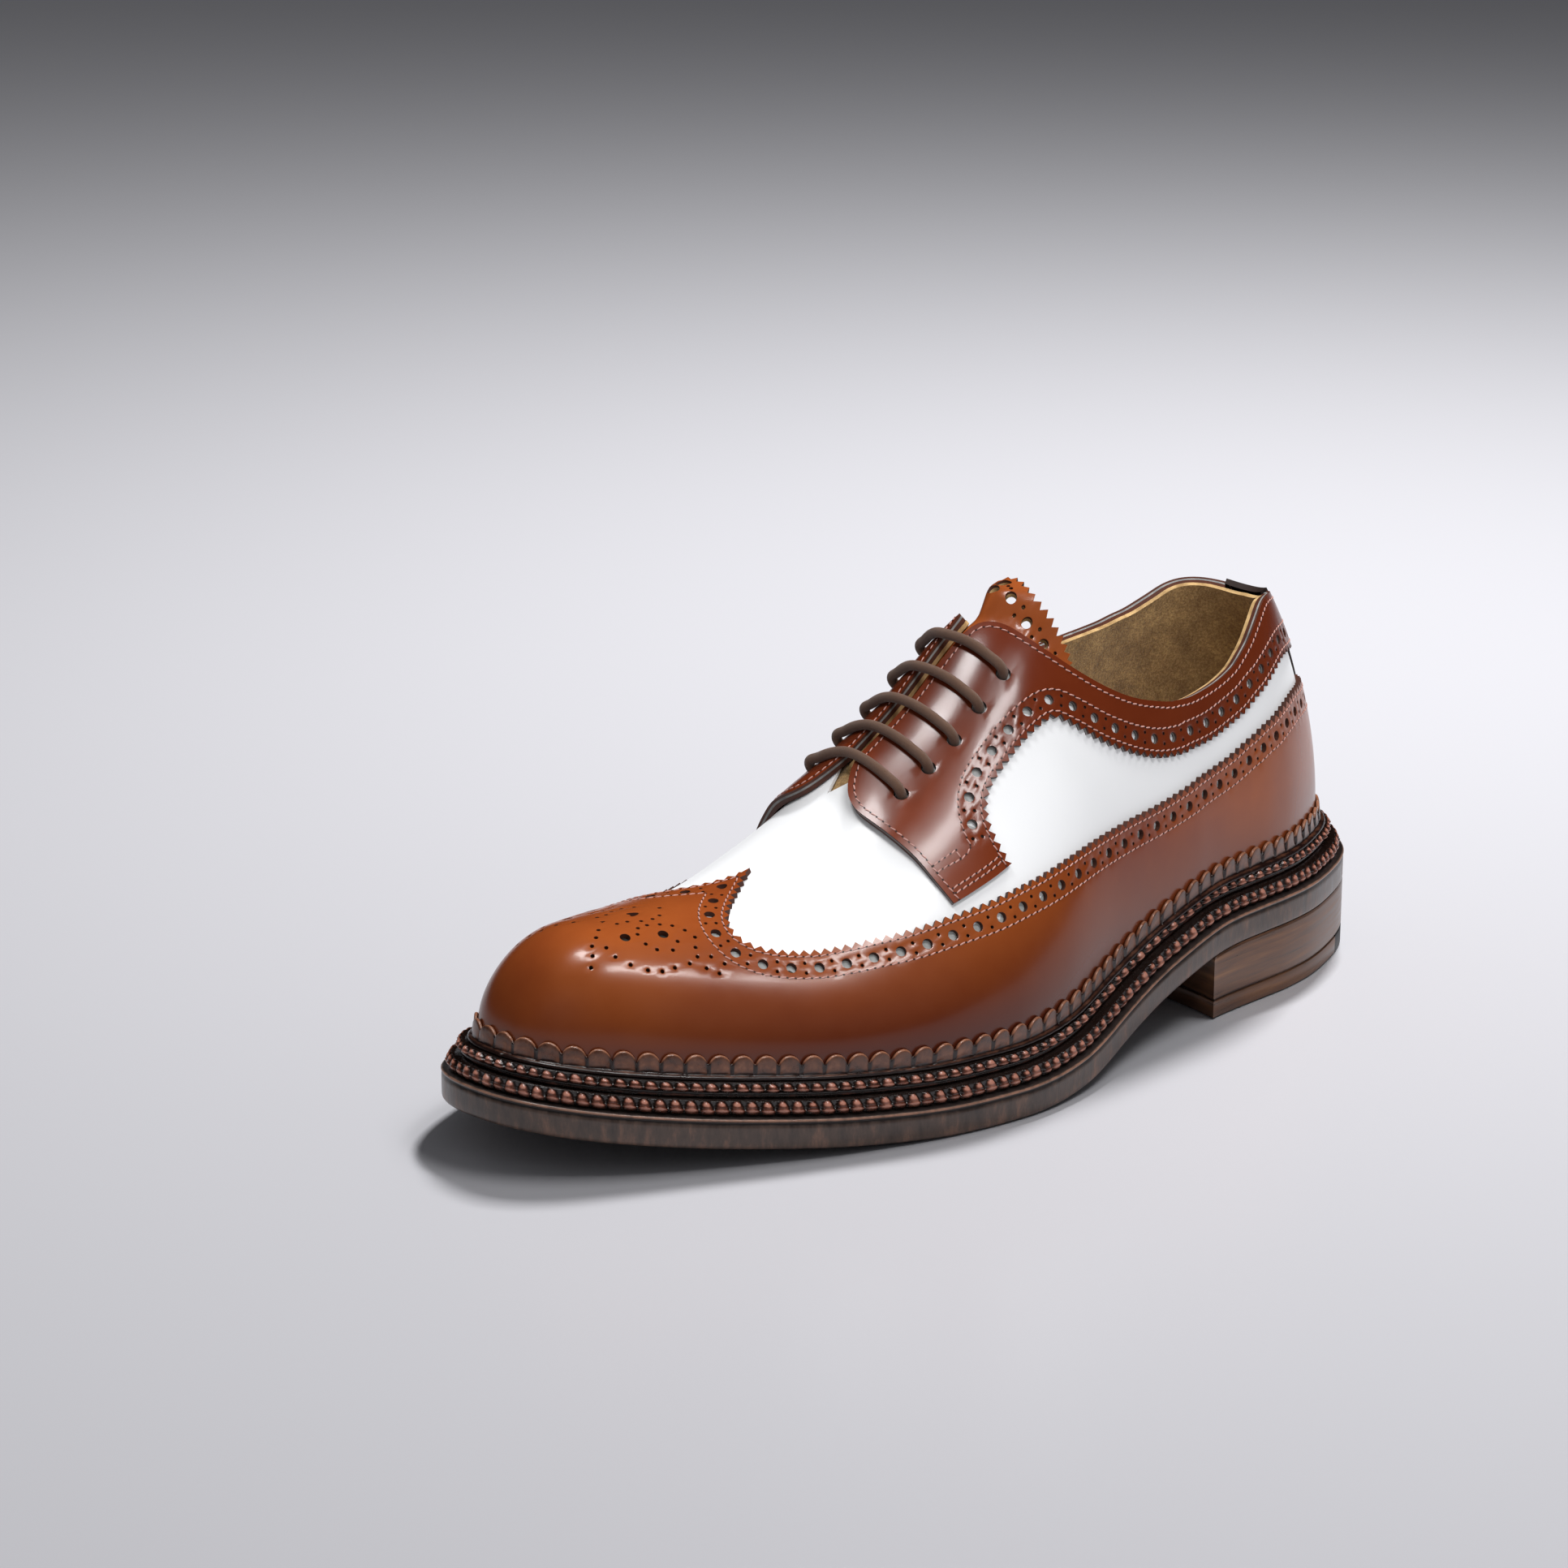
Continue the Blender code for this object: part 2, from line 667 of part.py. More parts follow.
def plate(name, profile, look):
    """Closed plate with the sole's outline. profile: rows of inset and height, from below."""
    around = stations(COLUMNS, (ARCH[-3, 0], SPRING_START))
    rings = [ring(around, inset, height) for inset, height in profile]
    count = len(around)
    faces = []
    for k in range(len(rings) - 1):
        for i in range(count):
            j = (i + 1) % count
            faces.append((k * count + i, k * count + j, (k + 1) * count + j, (k + 1) * count + i))
    for first, upward in ((0, False), ((len(rings) - 1) * count, True)):
        for i in range(count // 2):
            other = (count - i) % count
            beyond = count - i - 1
            face = [first + i, first + i + 1, first + beyond, first + other]
            face = list(dict.fromkeys(face))
            faces.append(tuple(face if upward else face[::-1]))
    return body(name, np.vstack(rings), faces, look)


def solid_over_plan(name, outline, low, high, look, spacing=9.0 * MM):
    """Closed body over a plan outline, between two heights given as functions of x."""
    flat, triangles = triangulated([outline / MM], spacing / MM)
    flat = flat * MM
    count = len(flat)
    points = np.vstack([
        np.column_stack([flat, high(flat[:, 0])]),
        np.column_stack([flat, low(flat[:, 0])]),
    ])
    faces = [tuple(t) for t in triangles]
    faces += [(t[0] + count, t[2] + count, t[1] + count) for t in triangles]
    faces += [(b, a, a + count, b + count) for a, b in border_edges(triangles.tolist())]
    return body(name, points, faces, look)


def even_plan(points, spacing):
    """A plan line cut into even steps."""
    length = np.concatenate([[0.0], np.cumsum(np.linalg.norm(np.diff(points, axis=0), axis=1))])
    at = np.linspace(0.0, length[-1], max(2, int(round(length[-1] / spacing))) + 1)
    return np.column_stack([np.interp(at, length, points[:, 0]), np.interp(at, length, points[:, 1])])


def heel_outline(start, end, hollow, spacing=6.0 * MM):
    """Plan of the heel from x = start to x = end. hollow: how far its front face is sunk back."""
    around = np.linspace(0.0, 0.30, 601)
    sides = []
    for line in (sole_outline(around), sole_outline(-around)):
        ends = [[x, np.interp(x, line[:, 0], line[:, 1])] for x in (max(start, line[0, 0]), end)]
        between = line[(line[:, 0] > start) & (line[:, 0] < end)]
        sides.append(even_plan(np.vstack([ends[:1], between, ends[1:]]), spacing))
    outer, inner = sides
    y = np.linspace(outer[-1, 1], inner[-1, 1], 13)
    off = (2.0 * y - outer[-1, 1] - inner[-1, 1]) / (outer[-1, 1] - inner[-1, 1])
    front = np.column_stack([end - hollow * (1.0 - off**2), y])
    loop = [outer[:-1], front[:-1], inner[::-1][:-1]]
    if start > -HEEL_CENTRE:
        loop.append(even_plan(np.vstack([inner[:1], outer[:1]]), spacing)[:-1])
    return np.vstack(loop)


def tube(name, centre, radius, look, sides=8):
    """Round bar along a smooth line of points, with flat ends."""
    centre = np.asarray(centre, float)
    along = np.gradient(centre, axis=0)
    along /= np.linalg.norm(along, axis=1, keepdims=True)
    side = np.cross(along, [1.0, 0.0, 0.0])
    side /= np.linalg.norm(side, axis=1, keepdims=True)
    over = np.cross(along, side)
    turn = 2.0 * np.pi * np.arange(sides) / sides
    rings = [
        c + radius * (np.cos(turn)[:, None] * s + np.sin(turn)[:, None] * o)
        for c, s, o in zip(centre, side, over)
    ]
    faces = [tuple(range(sides))[::-1]]
    for k in range(len(rings) - 1):
        for i in range(sides):
            j = (i + 1) % sides
            faces.append((k * sides + i, k * sides + j, (k + 1) * sides + j, (k + 1) * sides + i))
    last = (len(rings) - 1) * sides
    faces.append(tuple(range(last, last + sides)))
    return body(name, np.vstack(rings), faces, look)


def eyelets():
    """Chart points of one facing's eyelets, from the top."""
    share = np.arange(LACE_BARS) / max(LACE_BARS - 1, 1)
    first = np.array(EYELET_FIRST)
    return first + share[:, None] * (np.array(EYELET_LAST) - first)


def eyelet_loop(centre, sides=8):
    """A round hole on the surface, as a loop of the chart."""
    step = 1e-3
    here = last_point(centre[0], centre[1])
    per_around = (last_point(centre[0] + step, centre[1]) - here) / step
    per_up = (last_point(centre[0], centre[1] + step) - here) / step
    frame = np.column_stack([per_around, per_up])
    tangent = per_around / np.linalg.norm(per_around)
    across = np.cross(last_normal(centre[0], centre[1]), tangent)
    loop = []
    for k in range(sides):
        angle = 2.0 * math.pi * k / sides
        way = EYELET_RADIUS * (math.cos(angle) * tangent + math.sin(angle) * across)
        loop.append(np.asarray(centre) + np.linalg.lstsq(frame, way, rcond=None)[0])
    return np.array(loop)


def build_sole():
    leather = material("outsole_leather", (0.085, 0.062, 0.048), 0.55)
    welt = material("welt_leather", (0.075, 0.032, 0.018), 0.5)
    rubber = material("heel_rubber", (0.03, 0.03, 0.032), 0.7)
    plate("outsole", [
        (0.7 * MM, 0.0),
        (0.0, 0.8 * MM),
        (0.0, OUTSOLE_THICKNESS - 0.8 * MM),
        (0.5 * MM, OUTSOLE_THICKNESS),
    ], leather)
    for index, name in enumerate(("welt_lower", "welt_upper")):
        bottom = OUTSOLE_THICKNESS + CLEARANCE + index * (WELT_THICKNESS + CLEARANCE)
        edge = OUTSOLE_LEDGE + index * WELT_STEP
        plate(name, [
            (edge + BEAD_DEPTH, bottom),
            (edge + 0.25 * BEAD_DEPTH, bottom + 0.2 * WELT_THICKNESS),
            (edge, bottom + 0.5 * WELT_THICKNESS),
            (edge + 0.25 * BEAD_DEPTH, bottom + 0.8 * WELT_THICKNESS),
            (edge + BEAD_DEPTH, bottom + WELT_THICKNESS),
        ], welt)
    build_storm_welt(welt)
    whole = heel_outline(-1.0, HEEL_BREAST, BREAST_HOLLOW)
    solid_over_plan(
        "heel_stack",
        whole,
        lambda x: np.full_like(x, TOP_PIECE_THICKNESS + CLEARANCE),
        lambda x: sole_rise(x) - CLEARANCE,
        leather,
    )
    flat_top = lambda x: np.full_like(x, TOP_PIECE_THICKNESS)
    floor = lambda x: np.zeros_like(x)
    front = heel_outline(QUARTER_TIP_FRONT + CLEARANCE, HEEL_BREAST, BREAST_HOLLOW)
    solid_over_plan("heel_top_piece", front, floor, flat_top, leather)
    tip = heel_outline(-1.0, QUARTER_TIP_FRONT, 0.0)
    solid_over_plan("heel_rubber_quarter", tip, floor, flat_top, rubber)


def build_storm_welt(look):
    """Welt strip that lies on the beaded welts and stands up against the upper."""
    around = stations(COLUMNS, ())
    foot = up_at_height(around, 0.02 * MM)
    top = up_at_height(around, STORM_HEIGHT)
    middle = up_at_height(around, 0.5 * STORM_HEIGHT)
    outward = last_normal(around, foot) * [1.0, 1.0, 0.0]
    outward /= np.linalg.norm(outward, axis=1, keepdims=True)

    def beside(up, away, height=None):
        points = last_point(around, up) + outward * away
        if height is not None:
            points[:, 2] = sole_rise(points[:, 0]) + FEATHER_RISE + height
        return points

    rings = [
        beside(foot, CLEARANCE, 0.0),
        beside(middle, CLEARANCE + 0.05 * MM),
        beside(top, CLEARANCE + 0.05 * MM),
        beside(top, CLEARANCE + STORM_LIP),
        beside(foot, STORM_WIDTH, 0.3 * STORM_HEIGHT),
        beside(foot, STORM_WIDTH, 0.0),
    ]
    count = len(around)
    faces = []
    for k in range(len(rings)):
        n = (k + 1) % len(rings)
        for i in range(count):
            j = (i + 1) % count
            faces.append((k * count + i, k * count + j, n * count + j, n * count + i))
    return body("welt_storm", np.vstack(rings), faces, look)


def wall_top():
    """The top line from the back to the throat, on the outer and the inner side."""
    outer = smooth_line(TOP_LINE)
    return outer, mirrored(lifted(outer))


def throat_edge(count=24):
    """The lacing gap's edge on the outer side, from its back to its closed front end."""
    around = np.linspace(SLOT_BACK, SLOT_FRONT, count)
    return np.column_stack([around, slot_up(around)])


def upper_loops():
    outer_top, inner_top = wall_top()
    slot = throat_edge()
    feather = np.column_stack([np.linspace(0.0, 0.5, 80), np.zeros(80)])
    outer_back = np.column_stack([np.zeros(9), np.linspace(outer_top[0, 1], 0.0, 9)])
    inner_back = mirrored(outer_back)[::-1]
    inner_back[-1] = [0.0, inner_top[0, 1]]
    tip = np.array([[SLOT_FRONT + 0.0025, 1.0]])
    lines = [
        feather,
        *toe_fold(0.0),
        mirrored(feather)[::-1],
        inner_back,
        inner_top,
        np.vstack([inner_top[-1:], mirrored(slot)[:1]]),
        mirrored(slot),
        np.vstack([mirrored(slot)[-1:], tip]),
        np.vstack([tip, slot[-1:]]),
        slot[::-1],
        np.vstack([slot[:1], outer_top[-1:]]),
        outer_top[::-1],
        outer_back,
    ]
    return lines


def build_upper(look):
    loop = joined(upper_loops(), 0.8 * LATTICE)
    holes = []
    for centre in np.vstack([eyelets(), mirrored(eyelets())]):
        holes.append(eyelet_loop(centre))
    return chart_shell("upper", [loop] + holes, (0.0, 0.5), -WALL, 0.0, look)


def build_wing_cap(look):
    edge = smooth_line(WING_EDGE, 160)
    around = np.linspace(0.0, 0.5, 80)
    bottom = STORM_HEIGHT + 2.0 * CLEARANCE
    low_outer = np.column_stack([around, up_at_height(around, bottom)])
    low_inner = np.column_stack([around, 2.0 - up_at_height(1.0 - around, bottom)])
    back = np.linspace(edge[0, 1], low_outer[0, 1], 5)
    outer_back = np.column_stack([np.zeros(5), back])
    lines = [
        low_outer,
        *toe_fold(low_outer[-1, 1]),
        low_inner[::-1],
        mirrored(outer_back)[::-1],
        mirrored(edge),
        edge[::-1],
        outer_back,
    ]
    loop = joined(lines, 0.7 * LATTICE)
    inner = OVERLAY_GAP
    return chart_shell("wing_cap", [loop], (0.0, 0.5), inner, inner + OVERLAY_THICKNESS, look)


def build_facing(name, inner_side, look):
    strip = (BACK_STRIP_WIDTH / 2.0 + CLEARANCE) / BACK_ARC
    collar = smooth_line(COLLAR_EDGE)
    top = smooth_line(TOP_LINE)
    if inner_side:
        collar = lifted(collar)
        top = lifted(top)
    shoulder = smooth_line(FACING_SHOULDER, 20)
    shoulder[0] = collar[-1]
    slot = throat_edge()
    front = smooth_line(FACING_FRONT, 40)
    collar = collar[collar[:, 0] > strip]
    top = top[top[:, 0] > strip]
    lines = [
        np.vstack([[strip, collar[0, 1]], collar]),
        shoulder,
        smooth_line(FACING_TAIL, 20),
        smooth_line(TAIL_FOOT, 10),
        front,
        np.vstack([front[-1:], slot[-1:]]),
        slot[::-1],
        np.vstack([slot[:1], top[-1:]]),
        np.vstack([top[::-1], [strip, top[0, 1]]]),
        np.array([[strip, top[0, 1]], [strip, collar[0, 1]]]),
    ]
    loop = joined(lines, 0.7 * LATTICE)
    centres = eyelets()
    if inner_side:
        loop = mirrored(loop)[::-1]
        centres = mirrored(centres)
    holes = [eyelet_loop(centre) for centre in centres]
    return chart_shell(name, [loop] + holes, (), OVERLAY_GAP, OVERLAY_GAP + OVERLAY_THICKNESS, look)


def build_back_strip(look):
    half = BACK_STRIP_WIDTH / 2.0 / BACK_ARC
    low = WING_EDGE[0, 1] + 0.012
    high = TOP_LINE[0, 1]
    across = np.linspace(-half, half, 7)
    sides = np.linspace(low, high, 9)
    lines = [
        np.column_stack([across, np.full(7, low)]),
        np.column_stack([np.full(9, half), sides]),
        np.column_stack([across[::-1], np.full(7, high)]),
        np.column_stack([np.full(9, -half), sides[::-1]]),
    ]
    loop = joined(lines, 0.7 * LATTICE)
    inner = OVERLAY_GAP
    return chart_shell("back_strip", [loop], (), inner, inner + OVERLAY_THICKNESS, look)


def build_tongue(look):
    outer = smooth_line(TONGUE_EDGE, 60)
    loop = joined([outer, mirrored(outer)[::-1]], 0.6 * LATTICE)
    face = -WALL - CLEARANCE - 0.1 * MM
    under = face - TONGUE_THICKNESS
    return chart_shell("tongue", [loop], (), under, face, look, 0.65 * LATTICE, tongue_rise)


def build_insole(look):
    around = stations(COLUMNS, (ARCH[-3, 0], SPRING_START))
    share = (1.0 - np.cos(2.0 * np.pi * around)) / 2.0
    inset = extension(share) + WALL + 2.0 * CLEARANCE
    low = FEATHER_RISE
    return plate("insole", [(inset, low), (inset, low + INSOLE_THICKNESS)], look)


def build_laces(look):
    """Straight bars of lace over the tongue, each with its ends turned down into two eyelets."""
    radius = LACE_DIAMETER / 2.0
    lift = OVERLAY_GAP + OVERLAY_THICKNESS + CLEARANCE + radius
    for index, (around, up) in enumerate(eyelets()):
        step = 0.01
        per_up = np.linalg.norm(last_point(around, up + step) - last_point(around, up)) / step
        turn = np.array([0.0, 0.0, 0.15, 0.6, 1.5, 2.6, 4.0]) * radius / per_up
        rise = np.array([-1.1, 0.9, 1.8, 2.5, 3.0, 2.87, 2.47]) * radius + lift - 2.33 * radius
        middle = np.linspace(up + 5.5 * radius / per_up, 2.0 - up - 5.5 * radius / per_up, 6)
        girth = np.concatenate([up + turn, middle, 2.0 - up - turn[::-1]])
        height = np.concatenate([rise, np.full(6, lift), rise[::-1]])
        height[[0, -1]] = -0.5 * WALL
        path = offset_point(np.full_like(girth, around), girth, height)
        tube("lace_bar_%d" % (index + 1), path, radius, look)


BACK_ARC = float(np.linalg.norm(last_point(0.02, 0.45) - last_point(0.0, 0.45))) / 0.02

for old in list(bpy.data.objects):
    bpy.data.objects.remove(old, do_unlink=True)

WHITE_LEATHER = material("white_leather", (0.80, 0.79, 0.77), 0.42)
BROWN_LEATHER = material("brown_leather", (0.22, 0.07, 0.025), 0.38)
LINING_LEATHER = material("lining_leather", (0.32, 0.20, 0.08), 0.7)
LACE_COTTON = material("lace_cotton", (0.12, 0.075, 0.055), 0.85)

build_sole()
build_upper(WHITE_LEATHER)
build_wing_cap(BROWN_LEATHER)
build_facing("facing_outer", False, BROWN_LEATHER)
build_facing("facing_inner", True, BROWN_LEATHER)
build_back_strip(BROWN_LEATHER)
build_tongue(BROWN_LEATHER)
build_insole(LINING_LEATHER)
build_laces(LACE_COTTON)
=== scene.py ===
"""Looks of a left spectator shoe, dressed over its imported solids.

Lengths are in metres in the frame of the solids: +X to the toe, +Y to the outer side, +Z up.
The last's own surface is worked out from the same sizes as the solids, and each panel, seam,
hole row and welt follows it.
"""

import math

import bpy
import numpy as np
from mathutils import Matrix, Vector
from mathutils.geometry import delaunay_2d_cdt


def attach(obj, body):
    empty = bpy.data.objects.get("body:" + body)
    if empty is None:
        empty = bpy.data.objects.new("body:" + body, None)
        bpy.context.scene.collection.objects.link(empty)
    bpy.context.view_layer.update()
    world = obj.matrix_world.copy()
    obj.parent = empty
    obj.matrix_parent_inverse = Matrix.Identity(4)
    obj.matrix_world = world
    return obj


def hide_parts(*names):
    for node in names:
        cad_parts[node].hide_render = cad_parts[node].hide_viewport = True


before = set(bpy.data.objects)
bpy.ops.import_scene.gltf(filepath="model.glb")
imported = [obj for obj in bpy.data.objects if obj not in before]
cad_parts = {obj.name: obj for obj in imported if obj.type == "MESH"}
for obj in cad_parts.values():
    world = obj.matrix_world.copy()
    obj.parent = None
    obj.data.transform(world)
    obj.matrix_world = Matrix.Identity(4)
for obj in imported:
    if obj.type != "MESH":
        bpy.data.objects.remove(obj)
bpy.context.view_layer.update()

MM = 0.001

# Sole: driving sizes
SOLE_LENGTH = 300.0 * MM
HEEL_CENTRE = 36.8 * MM          # from the back of the sole to the origin
HEEL_WIDTH = 76.0 * MM
BALL_WIDTH = 112.0 * MM
TOE_SWING = 24.1 * MM            # how far the toe bends to the inner side
HEEL_HEIGHT = 19.0 * MM
TOE_SPRING = 11.4 * MM
OUTSOLE_THICKNESS = 8.2 * MM
WELT_THICKNESS = 3.7 * MM
WELT_STEP = 2.6 * MM             # the upper beaded welt stands back from the lower one
OUTSOLE_LEDGE = 1.0 * MM         # the lower beaded welt stands back from the outsole
HEEL_BREAST = 53.0 * MM          # from the origin to the heel's front face
BREAST_HOLLOW = 5.0 * MM
TOP_PIECE_THICKNESS = 5.0 * MM
QUARTER_TIP_FRONT = -14.0 * MM   # where the rubber quarter of the top piece begins
CLEARANCE = 0.3 * MM

# Upper: driving sizes
BACK_EXTENSION = 10.5 * MM       # welt showing outside the upper, at the heel
WAIST_EXTENSION = 8.5 * MM
BALL_EXTENSION = 11.0 * MM
TOE_EXTENSION = 11.5 * MM
INSTEP_HEIGHT = 120.0 * MM       # floor to the top of the last, which the collar cuts open
TOE_DOME = 23.0 * MM             # length over which the toe rounds down
HEEL_DOME = 29.5 * MM
BACK_LEAN = 10.4 * MM            # the heel's back curve leans forward over this much
LEAN_RISE = 70.0 * MM
LEAN_REACH = 130.0 * MM
WALL = 2.2 * MM
OVERLAY_THICKNESS = 1.2 * MM
OVERLAY_GAP = 0.5 * MM
BACK_STRIP_WIDTH = 15.0 * MM
INNER_COLLAR_LIFT = 0.08         # the top line is higher on the inner side, share of the wall
LACING_GAP_BACK = 6.5 * MM
LACING_GAP_FRONT = 4.0 * MM
TONGUE_THICKNESS = 2.0 * MM
TONGUE_LIFT = 5.2 * MM           # how far the tongue's tip stands off the last
STORM_HEIGHT = 4.2 * MM
LACE_DIAMETER = 3.0 * MM
LACE_BARS = 5

FEATHER_RISE = OUTSOLE_THICKNESS + 2.0 * (WELT_THICKNESS + CLEARANCE) + CLEARANCE

# Rough millimetres along and across the chart of the upper
CHART_SCALE = np.array([620.0, 95.0])
FOLD_TOP = 0.965                 # up the wall, where the toe's fold passes over the ridge

# Finish of the panels
FACE = OVERLAY_GAP + OVERLAY_THICKNESS - 0.15 * MM   # height of their faces over the last
PINK_PITCH = 2.8 * MM
PINK_DEPTH = 1.5 * MM
BROGUE_PITCH = 7.5 * MM
BIG_HOLE = 1.38 * MM             # radius
SMALL_HOLE = 0.48 * MM
MEDALLION_HOLE = 0.55 * MM
EYELET_HOLE = 1.95 * MM
PAIR_SPREAD = 1.35 * MM
HOLE_LINE = 5.1 * MM             # lines of holes and stitches, from a panel's edge
OUTER_STITCH = 1.95 * MM
INNER_STITCH = 7.9 * MM

# Sole sections. at: share of the sole's length from the heel. outer, inner: shares of the
# width there, on the two sides of the centre line.
SOLE_SECTIONS = np.array([
    # at   outer   inner
    [0.00, 0.460, 0.474],
    [0.08, 0.463, 0.480],
    [0.20, 0.526, 0.489],
    [0.30, 0.505, 0.423],
    [0.42, 0.477, 0.352],
    [0.52, 0.510, 0.383],
    [0.60, 0.526, 0.442],
    [0.68, 0.512, 0.482],
    [0.76, 0.464, 0.473],
    [0.84, 0.407, 0.438],
    [0.92, 0.373, 0.406],
    [1.00, 0.363, 0.388],
])
TOE_ROUND = 0.25                 # share of the length over which the toe rounds off
TOE_FULLNESS = 2.28
HEEL_ROUND = 0.16
HEEL_FULLNESS = 2.1
SWING_START = 0.40
SWING_POWER = 1.6

# Underside of the outsole. at: share of the length. rise: share of the heel's height.
ARCH = np.array([
    # at   rise
    [0.00, 1.00],
    [0.12, 1.00],
    [0.22, 1.00],
    [0.28, 0.96],
    [0.36, 0.71],
    [0.44, 0.37],
    [0.52, 0.09],
    [0.60, 0.00],
    [0.66, 0.00],
    [1.00, 0.00],
])
SPRING_START = 0.66
SPRING_POWER = 1.7

# Sections of the last above the feather line. at: share of the sole's length. ridge: share of
# INSTEP_HEIGHT. shift: the ridge's way to the inner side, share of BALL_WIDTH. fullness:
# exponent of the section. bulge: how far the side swells, share of BALL_WIDTH.
LAST_SECTIONS = np.array([
    # at   ridge  shift  full  bulge
    [0.00, 1.000, 0.000, 2.10, 0.007],
    [0.10, 1.008, 0.003, 2.10, 0.013],
    [0.20, 1.016, 0.009, 2.10, 0.020],
    [0.30, 1.016, 0.018, 2.07, 0.029],
    [0.40, 1.004, 0.023, 2.00, 0.030],
    [0.47, 0.946, 0.027, 1.92, 0.031],
    [0.55, 0.783, 0.030, 1.90, 0.036],
    [0.62, 0.658, 0.027, 1.90, 0.039],
    [0.68, 0.546, 0.021, 1.95, 0.037],
    [0.74, 0.473, 0.014, 2.05, 0.030],
    [0.80, 0.455, 0.007, 2.12, 0.020],
    [0.86, 0.452, 0.003, 2.20, 0.012],
    [0.92, 0.447, 0.000, 2.25, 0.009],
    [1.00, 0.433, 0.000, 2.25, 0.009],
])
TOE_DOME_POWER = 2.15
HEEL_DOME_POWER = 2.2
LEAN_POWER = 1.35
LEAN_FADE = 1.2
BULGE_POWER = 0.75
BULGE_PULL = 4.0

# Lines on the upper. around: share of the way round the last from the back of the heel (0) to
# the toe (0.5). up: share of the way up the wall from the feather line (0) to the ridge (1).
TOP_LINE = np.array([
    # around up
    [0.0000, 0.520],
    [0.0300, 0.513],
    [0.0550, 0.505],
    [0.0770, 0.497],
    [0.0980, 0.477],
    [0.1145, 0.455],
    [0.1350, 0.420],
    [0.1575, 0.393],
    [0.1745, 0.391],
    [0.1880, 0.420],
    [0.1995, 0.457],
    [0.2095, 0.513],
    [0.2175, 0.583],
    [0.2240, 0.667],
    [0.2285, 0.760],
    [0.2315, 0.880],
    [0.2345, 0.935],
])
SLOT_BACK = 0.239
SLOT_FRONT = 0.291
WING_EDGE = np.array([
    # around up
    [0.0000, 0.285],
    [0.0500, 0.277],
    [0.0970, 0.264],
    [0.1175, 0.264],
    [0.1425, 0.252],
    [0.1580, 0.234],
    [0.1750, 0.225],
    [0.1900, 0.225],
    [0.2045, 0.232],
    [0.2220, 0.255],
    [0.2420, 0.294],
    [0.2580, 0.334],
    [0.2725, 0.367],
    [0.2850, 0.388],
    [0.2975, 0.413],
    [0.3100, 0.440],
    [0.3200, 0.462],
    [0.3330, 0.484],
    [0.3440, 0.503],
    [0.3530, 0.522],
    [0.3600, 0.546],
    [0.3660, 0.592],
    [0.3695, 0.680],
    [0.3678, 0.767],
    [0.3640, 0.830],
    [0.3580, 0.897],
    [0.3515, 0.950],
    [0.3440, 1.000],
])
COLLAR_EDGE = np.array([
    # around up
    [0.0000, 0.362],
    [0.0500, 0.352],
    [0.0945, 0.340],
    [0.1255, 0.323],
    [0.1490, 0.297],
    [0.1675, 0.281],
    [0.1840, 0.289],
    [0.1970, 0.313],
    [0.2090, 0.357],
    [0.2190, 0.413],
    [0.2275, 0.480],
    [0.2356, 0.553],
])
FACING_SHOULDER = np.array([
    # around up
    [0.2356, 0.553],
    [0.2430, 0.570],
    [0.2500, 0.583],
    [0.2575, 0.589],
    [0.2630, 0.590],
    [0.2665, 0.584],
])
FACING_TAIL = np.array([
    # around up
    [0.2665, 0.584],
    [0.2695, 0.562],
    [0.2712, 0.530],
    [0.2716, 0.490],
    [0.2706, 0.417],
])
TAIL_FOOT = np.array([
    # around up
    [0.2706, 0.417],
    [0.2938, 0.430],
])
FACING_FRONT = np.array([
    # around up
    [0.2938, 0.430],
    [0.2963, 0.517],
    [0.2978, 0.593],
    [0.3000, 0.670],
    [0.3025, 0.773],
    [0.3036, 0.847],
    [0.3022, 0.895],
    [0.2985, 0.934],
    [0.2945, 0.957],
])
# The tongue's outline on the outer side, from the middle of its top down to its hidden foot
TONGUE_EDGE = np.array([
    # around up
    [0.2065, 1.000],
    [0.2085, 0.950],
    [0.2115, 0.890],
    [0.2135, 0.820],
    [0.2135, 0.740],
    [0.2130, 0.660],
    [0.2145, 0.600],
    [0.2220, 0.570],
    [0.2450, 0.600],
    [0.2750, 0.670],
    [0.3000, 0.750],
    [0.3110, 0.830],
    [0.3150, 0.910],
    [0.3160, 1.000],
])
# The tongue leaves the facings a little behind the top line and has its full lift after a ramp
TONGUE_TUCK = 0.003
TONGUE_RAMP = 0.016
# The five eyelets of one facing: first, last, and their way up the wall
EYELET_FIRST = (0.2430, 0.747)
EYELET_LAST = (0.2900, 0.767)


def unit(vectors):
    """The vectors at a length of 1."""
    return vectors / np.maximum(np.linalg.norm(vectors, axis=-1, keepdims=True), 1e-12)


def arc_length(points):
    """Way along a row of points, from the first of them to each."""
    return np.concatenate([[0.0], np.cumsum(np.linalg.norm(np.diff(points, axis=0), axis=1))])


def even_steps(line, length, spacing, least=2, even=False):
    """The line cut into even steps of a length that is given at each of its points."""
    count = max(least, int(round(length[-1] / spacing)))
    if even:
        count += count % 2
    at = np.linspace(0.0, length[-1], count + 1)
    return np.column_stack([np.interp(at, length, line[:, 0]), np.interp(at, length, line[:, 1])])

